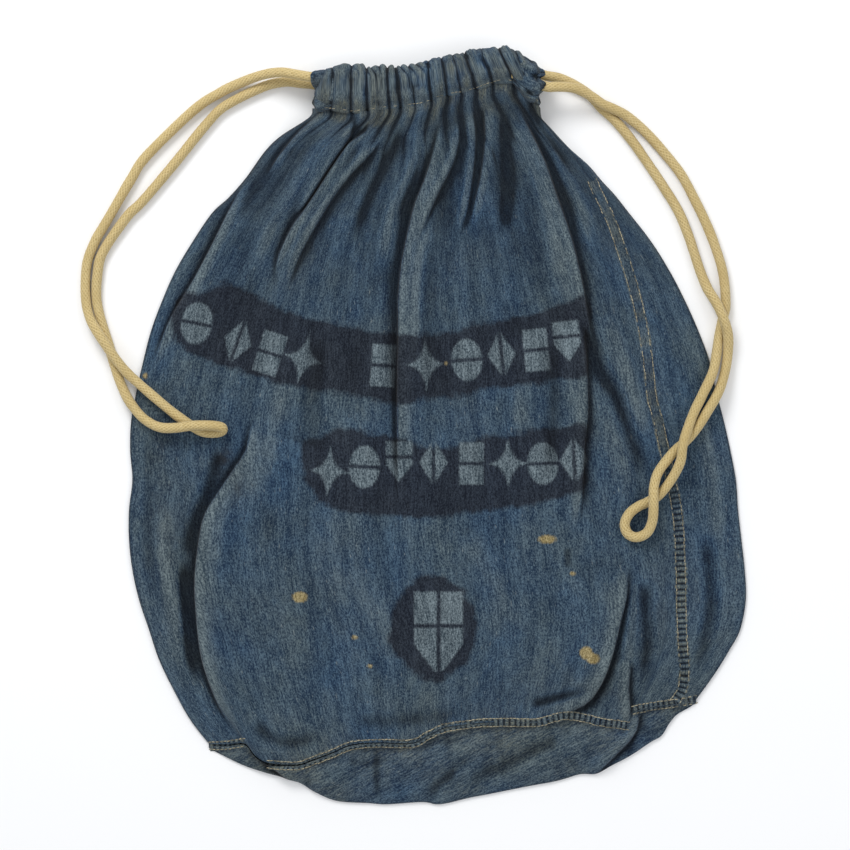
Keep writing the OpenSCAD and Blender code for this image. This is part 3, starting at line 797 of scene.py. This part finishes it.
def under_cords(x, y, z, gap=0.35):
    """Presses the cloth down where a cord lies on it, but not beside the openings."""
    limit = np.full(x.shape, 1e9)
    for path in CORD_PATHS:
        for p in path[::3]:
            in_the_air = p[0] > RIGHT_EXIT and p[1] > 280 or p[0] < LEFT_EXIT and p[1] > 290
            if p[2] < 8 or in_the_air:
                continue
            rows, cols = np.nonzero((np.abs(x - p[0]) < 14) & (np.abs(y - p[1]) < 14))
            d = np.hypot(x[rows, cols] - p[0], y[rows, cols] - p[1])
            r = CORD_D / 2 + gap
            near = np.where(d < r * 0.92, p[2] - np.sqrt(np.maximum(r * r - d * d, 0)),
                            p[2] - 0.39 * r + (d - r * 0.92) * 0.9)
            limit[rows, cols] = np.minimum(limit[rows, cols], near)
    return np.minimum(z, np.maximum(limit, 1.8))


def relax(z, amount, cells):
    return z + (blur(z, (cells, cells)) - z) * amount


def roundness(s):
    """1 over the middle of the sack, and 0 at its two side folds."""
    return np.sqrt(np.maximum(0, 1 - np.abs(2 * s - 1) ** 4))


BODY_ROWS, FRONT_COLS, BACK_COLS = detail(400), detail(400), detail(60)


def front_half():
    """The half that is seen: its places, its flat places, and what its shader reads."""
    u = np.linspace(0, 1, FRONT_COLS)
    s = 0.72 * u + 0.28 * (0.5 - 0.5 * np.cos(np.pi * u))
    S, T = np.meshgrid(s, np.linspace(0, 1, BODY_ROWS))
    P = coons(S, T)
    X, Y = P[..., 0], P[..., 1]
    side = roundness(S)
    climb = 13.25 * np.maximum(0, 1 - T / 0.32) ** 2
    tuck = 3 * np.maximum(0, (T - 0.8) / 0.2) ** 2
    down = T * CLOTH_LONG
    Z = 2.0 + side * (12 + climb - tuck) + 12 * (1 - side) * gauss(down, 24)
    profile, rise, reach = gather_profile(S, 0.004 * noise(S * 9, T * 30, 11))
    fade = np.exp(-(down / reach) ** 1.4)
    Z += rise * (profile - 0.55) * fade * (0.35 + 0.65 * side)
    relief, shift, rub_and_shade = crease_relief(X, Y, STEPS, FOLDS)
    Z += 1.25 * relief * (0.25 + 0.75 * smoothstep(side, 0.2, 0.8))
    # Soft hollows and puckers all over, stretched along the cloth's length.
    U, V = S * CLOTH_WIDE, T * CLOTH_LONG
    Z += side * (1.5 * noise(U / 62, V / 120, 1) + 0.8 * noise(U / 26, V / 70, 2)
                 + 0.35 * noise(U / 11, V / 26, 3) + 0.14 * noise(U / 5, V / 9, 4))
    # Puckers where the bottom seam draws the cloth in.
    above_seam = CLOTH_LONG - V
    Z += side * np.exp(-above_seam / 9) * 0.9 * noise(U / 7, V / 30, 5)
    # The puckers' tops drawn pale and the dips between them dark, in colour only, as wear and painted shade.
    comb = np.exp(-above_seam / 7) * np.sin(U * math.tau / 5.2 + 1.5 * noise(U / 20, V / 90, 10))
    Z = under_cords(X, Y, np.maximum(Z, 1.6))
    Z = np.maximum(relax(Z, 0.6, 1), 1.6)
    # Raised places drawn paler and hollows darker, as wear and painted shade.
    broad, close = blur(Z, (9, 9)), blur(Z, (3, 3))
    wear_and_shading = np.clip((Z - broad) / 1.6, -1, 1) * 0.7 + np.clip((Z - close) / 0.45, -1, 1) * 0.3
    # Painted shade in the valleys between the gathers, down from the mouth.
    hollow_shade = (1 - profile) ** 1.3 * np.exp(-((down / (0.5 * reach)) ** 1.5))
    # Painted shade over the upper body and its upper right side, drawn darker.
    shaded = (0.68 * gauss(down, 200) * (1 + 0.5 * noise(U / 60, V / 90, 12))
              + 0.34 * gauss(S - 0.85, 0.22) * gauss(down - 90, 110))
    # All in one field, with the gathers' tops drawn paler as painted highlight.
    wear_and_shading = clip_wear_and_shading(wear_and_shading + 0.7 * comb + rub_and_shade - 1.6 * hollow_shade - shaded + 0.5 * (profile - 0.6) * fade)
    grime = (np.clip(profile * 1.4 - 0.3, 0, 1) * gauss(down - 4, 22)
             * np.clip(0.55 + 1.1 * noise(U / 18, V / 14, 6), 0, 1.2))
    grime += 0.28 * np.clip(noise(U / 45, V / 60, 7) - 0.25, 0, 1) + 0.12 * np.clip(wear_and_shading, 0, 1)
    grime += 0.5 * np.exp(-above_seam / 14) * np.clip(noise(U / 18, V / 18, 8) + 0.3, 0, 1)
    band, mark, spot, stain_and_hole_shade = paint_fields(X, Y)
    fields = {"wear_and_shading": wear_and_shading, "grime": np.clip(grime, 0, 1), "stain_and_hole_shade": stain_and_hole_shade, "band": band, "mark": mark,
              "spot": spot}
    return np.dstack([X + shift[..., 0], Y + shift[..., 1], Z]), np.dstack([U, -V]), fields


def back_half():
    """The half that lies flat on the floor, from the right edge back to the left, drawn in at the mouth."""
    S, T = np.meshgrid(np.linspace(1, 0, BACK_COLS + 2)[1:-1], np.linspace(0, 1, BODY_ROWS))
    side, down = roundness(S), T * CLOTH_LONG
    z = 0.7 + (5.5 * side + 9 * (1 - side)) * gauss(down, 20)
    fields = {key: np.full(S.shape, float(plain)) for key, plain in PLAIN_CLOTH.items()}
    return np.dstack([coons(S, T), z]), np.dstack([CLOTH_WIDE * (2 - S), -down]), fields


def body_cloth():
    """One piece of cloth, wrapped round from the front to the back."""
    front_points, front_flat, front_fields = front_half()
    back_points, back_flat, back_fields = back_half()
    points = np.concatenate([front_points, back_points], axis=1)
    flat = np.concatenate([front_flat, back_flat], axis=1)
    fields = {key: np.concatenate([front_fields[key], back_fields[key]], axis=1) for key in PLAIN_CLOTH}
    obj = cloth("body_cloth", points, flat, fields, "denim", ["front_panel", "back_panel"], close_u=True)
    return obj, front_points[-1, :, 2]


# The height of the front cloth along the bottom seam shapes the bottom's rim.
body, SEAM_HEIGHTS = body_cloth()


# ---------------------------------------------------------------- bottom

# The bottom's own folds, as the body's.
BOTTOM_STEPS = [
    ([(-172, -282), (-152, -301), (-136, -314), (-122, -326)], "east", 4.5, 22, 1.5, 1.1, 10, 8),
    ([(182, -250), (176, -274), (162, -290), (146, -306), (134, -320)], "west", 4.2, 22, 1.5, 1.2, 10, 10),
]
BOTTOM_FOLDS = [
    ([(-56, -284), (-56, -310), (-55, -338)], -1.6, 3, 5),
    ([(34, -290), (18, -306), (0, -322), (-14, -340)], -2.6, 8, 6),
    ([(44, -268), (30, -290), (10, -318)], 1.6, 12, 10),
    ([(110, -276), (80, -294), (40, -312), (20, -326)], -2.2, 9, 9),
    ([(140, -272), (110, -292), (70, -312)], 1.8, 9, 9),
    ([(-110, -300), (-104, -318), (-100, -332)], 1.2, 12, 12),
    ([(-84, -292), (-70, -302), (-30, -296)], -1.2, 5, 5),
    ([(-20, -288), (0, -282), (30, -278)], -1.4, 5, 6),
]


def bottom_cloth():
    """The round bottom: a crescent seen in front of the bottom seam, and the rest folded under the back."""
    cols, rows, under_rows = detail(420), detail(90), detail(26)
    s = np.linspace(0, 1, cols)
    seam, edge, back = evenly(BOTTOM_SEAM, cols), evenly(BOTTOM_EDGE, cols), evenly(BACK_SEAM, cols)
    V = np.meshgrid(s, np.linspace(0, 1, rows) ** 0.8)[1]
    X, Y = np.moveaxis(seam[None] + (edge - seam)[None] * V[..., None], -1, 0)
    below_seam = V * np.linalg.norm(edge - seam, axis=1)[None]
    rim = np.interp(s, np.linspace(0, 1, len(SEAM_HEIGHTS)), SEAM_HEIGHTS) - 0.8
    Z = 1.4 + (rim - 1.4)[None] * (1 - V**2.6) ** 0.6
    relief, shift, rub_and_shade = crease_relief(X, Y, BOTTOM_STEPS, BOTTOM_FOLDS)
    bulge = np.sin(np.pi * np.clip(V, 0, 1)) ** 0.5
    Z += bulge * (relief + 0.9 * noise(X / 24, Y / 18, 61) + 0.35 * noise(X / 9, Y / 8, 62))
    Z -= 1.6 * gauss(below_seam - 5, 4) * smoothstep(V, 0, 0.08)
    Z = np.maximum(Z, 1.2)
    # Raised places drawn paler and hollows darker, as wear and painted shade, with the creases' own.
    wear_and_shading = clip_wear_and_shading(np.clip((Z - blur(Z, (7, 9))) / 0.9, -1, 1) * 0.6 - 0.1 + rub_and_shade)
    top = np.dstack([X + shift[..., 0], Y + shift[..., 1], Z])
    w = np.linspace(0, 1, under_rows + 1)[1:]
    SU, W = np.meshgrid(s, w)
    Q = edge[None] + (back - edge)[None] * W[..., None]
    low = np.dstack([Q, 0.25 + 0.55 * np.exp(-W * 12)])
    points = np.concatenate([top, low], axis=0)
    # The bottom is cut from the same cloth but lies turned, so its threads run slantwise.
    turn = math.radians(62)
    c, sn = math.cos(turn), math.sin(turn)
    flat = np.stack([points[..., 0] * c - points[..., 1] * sn, points[..., 0] * sn + points[..., 1] * c], -1)
    flat[rows:] = flat[rows:] * (1, -1) + 900
    grime = 0.25 + 0.3 * noise(points[..., 0] / 30, points[..., 1] / 22, 63)
    grime[:rows] += 0.4 * np.exp(-below_seam / 9)
    fields = {"wear_and_shading": np.concatenate([wear_and_shading, np.zeros(SU.shape)], axis=0), "grime": np.clip(grime, 0, 1)}
    return cloth("bottom_cloth", points, flat, fields, "denim", ["bottom_panel"])


bottom = bottom_cloth()


# ---------------------------------------------------------------- casing

# The front casing's section, as shares of its depth from the stitch line to the top edge, and heights.
CASING_SECTION = [
    (0, 27.2), (0.05, 28.2), (0.12, 30.2), (0.22, 33), (0.4, 34.8), (0.64, 35.2), (0.80, 34.6),
    (0.92, 32.8), (0.98, 30.4), (1.0, 27.6), (0.985, 24.6), (0.93, 22.4), (0.8, 21), (0.5, 20.6),
    (0.2, 20.7), (0.06, 21.4), (0, 23.5)]
# The height that the back casing's section mirrors the front's about, and the middle of the casing in Y.
CASING_MIDDLE_Z, CASING_MIDDLE_Y = 17.0, 305


def casing_tube(name, node, is_front):
    """The front or the back half of the gathered casing, as a flattened tube."""
    cols, ring = detail(560), detail(84)
    s = np.linspace(0, 1, cols)
    stitch = evenly(STITCH_LINE, cols)
    centres = [0] + [g[0] for g in GATHERS] + [1]
    top = np.stack([np.interp(s, centres, [-105] + [g[1] for g in GATHERS] + [82]),
                    np.interp(s, centres, [316] + [g[2] for g in GATHERS] + [330])], -1)
    section = evenly(CASING_SECTION + CASING_SECTION[:1], ring + 1)[:-1]
    q, z = section[:, 0], section[:, 1]
    if not is_front:
        z = 2 * CASING_MIDDLE_Z - z
        top = top - (0, 2.5)
    tangent = np.roll(section, -1, axis=0) - np.roll(section, 1, axis=0)
    ny, nz = -tangent[:, 1], tangent[:, 0] * 38
    size = np.hypot(ny, nz)
    ny, nz = ny / size, nz / size
    if not is_front:
        nz = -nz
    S, Q = np.meshgrid(s, q)
    profile, rise, _ = gather_profile(S, 0.006 * noise(S * 14, Q * 3, 70) * Q)
    # Small pleats crowd the middle of the top edge; the ends stay broad and smooth.
    crowd = gauss(S - 0.36, 0.16) + 0.35 * smoothstep(S, 0.5, 0.7)
    fine = np.abs(np.sin(np.pi * (S * 33 + 1.5 * noise(S * 12, Q * 1.6, 71)))) ** 0.7
    creep, crimp = noise(S * 60, Q * 5, 72), noise(S * 26, Q * 7, 76)
    outer = smoothstep(z, 21, 26)[:, None] if is_front else 1 - smoothstep(z, 8, 13)[:, None]
    lift = (rise * (profile - 0.55) * (1.0 - 0.3 * Q) + 2.4 * (fine - 0.5) * smoothstep(Q, 0.25, 0.95) * crowd
            + (0.6 * creep + 0.7 * crimp) * (0.3 + 0.7 * Q)) * (0.25 + 0.75 * outer)
    lift = np.maximum(lift, -2.4)
    P = stitch[None] + (top - stitch)[None] * Q[..., None]
    end = np.clip(1 - np.minimum(S * 205, (1 - S) * 190) / 11, 0, 1)
    sink = 11 * (1 - np.sqrt(np.maximum(0, 1 - end**2.2))) * (-1 if is_front else 1)
    Y = CASING_MIDDLE_Y + (P[..., 1] - CASING_MIDDLE_Y) * (1 - 0.25 * end**3) + lift * ny[:, None]
    Z = np.maximum(z[:, None] + lift * nz[:, None] + sink, 0.3)
    depth = blur(lift, (2, detail(9)))
    patchy = noise(S * 22, Q * 2.2, 74)
    # Gather tops drawn paler as painted highlight and wear; valleys between gathers, fine pleats and crimps
    # painted darker as shade.
    wear_and_shading = clip_wear_and_shading((lift - depth) / 0.6 + 0.38 + 0.6 * (profile - 0.6)
                     - (1.9 + 1.2 * patchy) * (1 - profile) ** 1.3
                     - (1.3 + patchy) * (1 - fine) ** 1.6 * Q * crowd + 0.55 * noise(S * 60, Q * 9, 75)
                     - 0.7 * np.clip(-crimp - 0.3, 0, 1))
    grime = np.clip(0.2 * profile + 0.3 * fine * Q + 0.5 * noise(S * 30, Q * 3, 73)
                    + gauss(Q - 0.02, 0.3) * profile
                    * np.clip(0.5 + 1.1 * noise(S * 31, Q * 3, 77), 0, 1.2), 0, 1)
    flat = np.dstack([S * CLOTH_WIDE, np.broadcast_to(np.linspace(0, 92, ring)[:, None], S.shape)])
    fields = {"wear_and_shading": wear_and_shading, "grime": grime}
    return cloth(name, np.dstack([P[..., 0], Y, Z]), flat, fields, "faded_denim", [node], close_v=True)


front_tube = casing_tube("front_casing_cloth", "front_casing", True)
back_tube = casing_tube("back_casing_cloth", "back_casing", False)


def ring_shell(name, node, rings, seed, rumple, creases, tilt=0.0, notch=None, rounding=0.0):
    """A soft shell through a row of rings across the cords. Each ring is its X, its centre in Y and Z, its half
    width and half height, and how square it is. Each crease is a line in X and Y with its depth and width. The
    notch is where the outer end folds in, in Y, its width and its depth; rounding takes its corners off."""
    steps = detail(70)
    ctrl = evenly(rings, steps)
    around = np.linspace(0, math.tau, detail(160), endpoint=False)
    A, K = np.meshgrid(around, np.arange(steps) * 44 / steps)
    x, yc, zc, hy, hz, p = (ctrl[:, k][:, None] for k in range(6))
    c, sn = np.cos(A), np.sin(A)
    z = hz * np.sign(sn) * np.abs(sn) ** (2 / p)
    y = yc + hy * np.sign(c) * np.abs(c) ** (2 / p) + tilt * z
    z = zc + z
    folds = np.abs(noise(A * 3.2, K / 17, seed + 2)) ** 0.6
    swell = rumple * (noise(A * 2.2, K / 11, seed) + 0.22 * noise(A * 8.5, K / 6, seed + 1)
                      + 1.2 * (folds - 0.5))
    X = np.broadcast_to(x, y.shape) + 0.5 * swell
    away = np.sign(ctrl[0, 0])
    outer = smoothstep(away * x, np.min(away * ctrl[:, 0]) + 1, np.max(away * ctrl[:, 0]))
    X = X - away * outer * rounding * np.clip(np.abs(y - yc) / hy, 0, 1.1) ** 3
    if notch:
        X = X - away * outer * notch[2] * gauss(y - notch[0], notch[1])
    y, z = y + swell * c, z + swell * sn
    # Swellings drawn paler and the folds' hollows darker, as wear and painted shade.
    wear_and_shading = clip_wear_and_shading(1.1 * swell / rumple - 1.2 * (1 - folds) ** 4)
    for line, depth, width in creases:
        d, _ = along_line(X, y, line)
        dent = gauss(d, width) * smoothstep(z, 18, 26)
        z = z - depth * dent
        # A dent is painted darker as shade, a raised crease paler.
        wear_and_shading = wear_and_shading - 0.8 * dent * np.sign(depth)
    run = np.cumsum(np.r_[0, np.abs(np.diff(ctrl[:, 0])) + 0.3])
    flat = np.dstack([A * 16, np.broadcast_to(run[:, None], A.shape)])
    grime = np.clip(0.3 + 0.5 * noise(A * 2, K / 7, seed + 3), 0, 1)
    fields = {"wear_and_shading": wear_and_shading, "grime": grime}
    return cloth(name, np.dstack([X, y, np.maximum(z, 0.3)]), flat, fields, "faded_denim", [node], close_u=True)


left_end = ring_shell(
    "left_end_cloth", "left_casing_end",
    [(-82, 305, 17.4, 17, 15.6, 3), (-92, 305.5, 17.6, 18, 16.4, 2.8), (-99, 302.5, 17.6, 18.5, 16.4, 2.6),
     (-104, 299, 17.4, 15.5, 16, 2.4), (-108, 296, 17, 12, 14.4, 2.3), (-110.5, 295, 17, 8, 11, 2.2)], 81, 0.8,
    [([(-97, 322), (-99, 312), (-106, 302)], 1.6, 2.2), ([(-112, 296), (-100, 292), (-92, 290)], 1.2, 1.6)])
left_collar = ring_shell(
    "left_collar_cloth", "left_cord_collar",
    [(-94, 313, 17, 5.6, 13.6, 2.3), (-97, 313, 17.4, 7.4, 15.6, 2.3), (-102, 313, 17.4, 8.2, 16.4, 2.3),
     (-107, 313, 17.4, 8.0, 16.2, 2.3), (-111.4, 312.8, 17.4, 7.8, 16.2, 2.3),
     (-113.8, 312.8, 17.4, 6.8, 15.6, 2.3), (-113, 312.8, 17.4, 5.8, 14.8, 2.3),
     (-106, 312.8, 17.4, 5.4, 14, 2.3)], 84, 0.7,
    [([(-98, 320), (-101, 312), (-99, 305)], 1.5, 1.6)], tilt=0.12, rounding=2.6)
right_end = ring_shell(
    "right_end_cloth", "right_casing_end",
    [(67, 320, 18, 12, 15.2, 3), (77, 315.5, 18.2, 18.5, 17.4, 3), (84, 312, 18.2, 19.5, 17.6, 2.6),
     (88, 311, 18, 19, 16.8, 2.4), (91.5, 311, 17.6, 16, 14.5, 2.3), (93, 311, 17, 12, 11, 2.2)], 91, 1.3,
    [([(74, 317), (84, 314), (97, 312)], 1.6, 2.0), ([(74, 334), (84, 325), (92, 320)], 2.0, 2.2),
     ([(78, 322), (86, 323), (95, 321)], -1.6, 2.6), ([(80, 300), (88, 299), (94, 297)], 2.0, 2.2),
     ([(82, 292), (90, 300), (97, 303)], -1.6, 2.6)], notch=(312.5, 3.4, 4), rounding=3)
right_collar = ring_shell(
    "right_collar_cloth", "right_cord_collar",
    [(86, 312.6, 17.4, 8.6, 14.4, 2.3), (86, 312.6, 17.6, 11, 16.4, 2.3), (90.5, 312.6, 17.8, 12.4, 17.2, 2.3),
     (94, 312.6, 17.8, 12.6, 17.2, 2.3), (96.4, 312.6, 17.6, 11.6, 16.8, 2.3), (96, 312.6, 17.4, 10, 15.8, 2.4),
     (89, 312.6, 17.4, 9.4, 15, 2.4)], 95, 0.9,
    [([(84, 313), (98, 312.5)], 2.4, 1.8), ([(84, 324), (92, 319), (98, 318)], 1.2, 1.6),
     ([(84, 301), (91, 306), (98, 307)], 1.2, 1.6)], tilt=-0.3, notch=(312.5, 2.6, 5.5), rounding=4.5)


# ---------------------------------------------------------------- seams and stitches

def bvh_of(obj):
    mesh = obj.data
    co = np.empty(len(mesh.vertices) * 3)
    mesh.vertices.foreach_get("co", co)
    return BVHTree.FromPolygons(co.reshape(-1, 3).tolist(), [tuple(p.vertices) for p in mesh.polygons])


UNDER = [bvh_of(body), bvh_of(bottom), bvh_of(front_tube)]


def drop(x, y):
    """Height of the cloth at a place, in mm."""
    best = 0.0
    for tree in UNDER:
        hit = tree.ray_cast(Vector((x * MM, y * MM, 0.2)), Vector((0, 0, -1)))[0]
        if hit is not None:
            best = max(best, hit.z / MM)
    return best


def seam_strip(name, node, lines, width, lift=0.9, rungs=4.9, start=0.0):
    """Felled seams laid along lines on the cloth, puckered between their two rows of stitches. A seam with a
    start is smooth up to that share of its length. The first one stands for the node."""
    strips = []
    across = np.linspace(-1, 1, 15)
    for k, line in enumerate(lines):
        path = spaced(line, detail(0.8), 8)
        normal = headings(path)[1]
        run = distances(path)
        place = run / run[-1]
        half = width / 2 * (1 + 0.07 * noise(run / 9, run * 0, 101))
        if start:
            half = half * (0.55 + 0.45 * smoothstep(place, 0, 0.2))
        xy = path[:, None] + normal[:, None] * (across[None, :] * half[:, None])[..., None]
        xy += normal[:, None] * (0.5 * noise(run / 14, run * 0, 102))[:, None, None]
        z = blur(np.array([[drop(*p) for p in row] for row in xy]), (2, 1))
        strength = smoothstep(place, start - 0.15, start + 0.15)[:, None] if start else 1.0
        wave = np.sin(run * math.tau / rungs + 1.4 * noise(run / 11, run * 0, 103))[:, None]
        off_middle = np.abs(across)[None]
        inside = 1 - off_middle**6
        row_dip = gauss(off_middle - 0.74, 0.12)
        z = z + lift * inside - 0.35 + 0.45 * wave * strength * inside - 0.35 * row_dip
        worn_patch = 1.1 * gauss(run[:, None] - 152, 13) if start else 0
        # The puckers' rungs drawn pale on top and dark between, as wear and painted shade; the folded edges and
        # a worn patch are rubbed pale.
        wear_and_shading = clip_wear_and_shading(strength * (2.4 * wave + 0.05) * (1 - off_middle**4) - 0.3 * (1 - strength)
                         + 1.3 * gauss(off_middle - 0.95, 0.14) + worn_patch)
        grime = np.clip(0.3 + 0.4 * noise(run / 8, run * 0, 104)[:, None] + 0.3 * row_dip
                        + 0.4 * np.clip(wave, 0, 1) * strength, 0, 1)
        flat = np.stack(np.broadcast_arrays(across[None] * width / 2 + 40 * k, run[:, None]), -1)
        fields = {"wear_and_shading": wear_and_shading, "grime": grime}
        strips.append(cloth(f"{name}_{k}" if k else name, np.dstack([xy, z]), flat, fields, "faded_denim",
                            [] if k else [node]))
    return strips


SIDE_SEAM = [
    (139, 223), (146, 208), (156, 187), (166, 158), (175, 130), (182, 102), (187, 74), (190, 50), (192, 30),
    (198, 7), (203, -15), (211, -52), (216, -82), (218, -118), (219, -163), (220, -193), (222, -215),
    (220, -234), (213, -246)]
# The front bottom seam is seen in four lengths, between the folds that cross it.
HEM_LINES = [[(-206, -286), (-190, -285), (-174, -282)],
             [(-153, -302)] + BOTTOM_SEAM[5:20] + [(171, -267)],
             [(176, -253), (192, -250), (215, -247)],
             [(222, -246), (233, -244)]]
side_strips = seam_strip("side_seam_cloth", "side_seam", [SIDE_SEAM], 12, 1.1, 5.2, start=0.6)
hem_strips = seam_strip("bottom_seam_cloth", "front_bottom_seam", HEM_LINES, 9.5, 1.0, 4.9)
UNDER += [bvh_of(o) for o in side_strips + hem_strips]


def back_seam():
    """The felled seam under the sack, where the bottom meets the back: a puckered band flat on the floor."""
    count = detail(700)
    path = evenly(BACK_SEAM, count)[count // 60:-count // 60]
    normal, run, half = headings(path)[1], distances(path), 4.7
    # Round the band's section: eleven places over it, and nine back under it.
    across = np.r_[np.linspace(-1, 1, 11), np.linspace(1, -1, 11)[1:-1]]
    over = np.r_[np.ones(11), np.zeros(9)]
    wave = np.sin(run * math.tau / 4.9 + 1.4 * noise(run / 11, run * 0, 106))[:, None]
    inside = 1 - np.abs(across)[None] ** 6
    z = np.where(over[None] > 0, 0.55 + (0.55 + 0.25 * wave) * inside, 0.5 - 0.4 * inside)
    xy = path[:, None] + normal[:, None] * (across[None, :, None] * half)
    flat = np.stack(np.broadcast_arrays(across[None] * half + 20 * over[None], run[:, None]), -1)
    # The puckers' rungs drawn pale on top and dark between, as wear and painted shade.
    fields = {"wear_and_shading": WEAR_AND_SHADING_LIMIT * wave * inside, "grime": 0.5}
    return cloth("back_seam_cloth", np.dstack([xy, z]), flat, fields, "faded_denim", ["back_bottom_seam"],
                 close_u=True)


back_band = back_seam()


def capsule(centre, direction, length, radius):
    """A short rounded thread lying along a direction."""
    d = np.asarray(direction, float)
    d /= np.linalg.norm(d)
    side = np.cross(d, (0, 0, 1))
    side /= np.linalg.norm(side)
    up = np.cross(side, d)
    rings = [(-0.5, 0.35), (-0.36, 0.9), (0, 1.0), (0.36, 0.9), (0.5, 0.35)]
    verts, faces, m = [], [], 6
    for f, r in rings:
        for k in range(m):
            a = math.tau * k / m
            verts.append(centre + d * f * length + (side * math.cos(a) + up * math.sin(a)) * r * radius)
    for j in range(0, (len(rings) - 1) * m, m):
        faces += [(j + k, j + (k + 1) % m, j + m + (k + 1) % m, j + m + k) for k in range(m)]
    faces += [tuple(range(m))[::-1], tuple(range((len(rings) - 1) * m, len(rings) * m))]
    return np.array(verts), faces


def stitches(name, node, rows, pitch, length, radius=0.42, keep=1.0):
    """Rows of stitches along lines on the cloth, each offset from its line. Keep is the share that is left."""
    rng = np.random.default_rng(len(name))
    parts = []
    for line, offset in rows:
        path = spaced(line, pitch, 3)
        for p, d, n in zip(path, *headings(path)):
            if rng.random() > keep:
                continue
            at = p + n * (offset + rng.normal(0, 0.18))
            a, b = at - d * length * 0.4, at + d * length * 0.4
            za, zb = drop(*a), drop(*b)
            centre = np.array([at[0], at[1], (za + zb) / 2 + 0.12])
            slope = np.array([d[0], d[1], np.clip((zb - za) / (length * 0.8), -1.2, 1.2)])
            slope[:2] += n * rng.normal(0, 0.08)
            parts.append(capsule(centre, slope, length, radius))
    return make_object(name, join_meshes(name, parts), THREAD, "sack", [node])


threads = [
    stitches("side_seam_threads", "side_seam_stitching", [(SIDE_SEAM, -4.1), (SIDE_SEAM, 4.1)],
             3.2, 2.9, 0.38, keep=0.85),
    stitches("bottom_seam_threads", "bottom_seam_stitching", [(l, o) for l in HEM_LINES for o in (-3.6, 3.6)],
             3.0, 2.8),
    stitches("casing_threads", "casing_stitching", [(STITCH_LINE, 1.2)], 3.2, 2.9, 0.24, keep=0.55)]
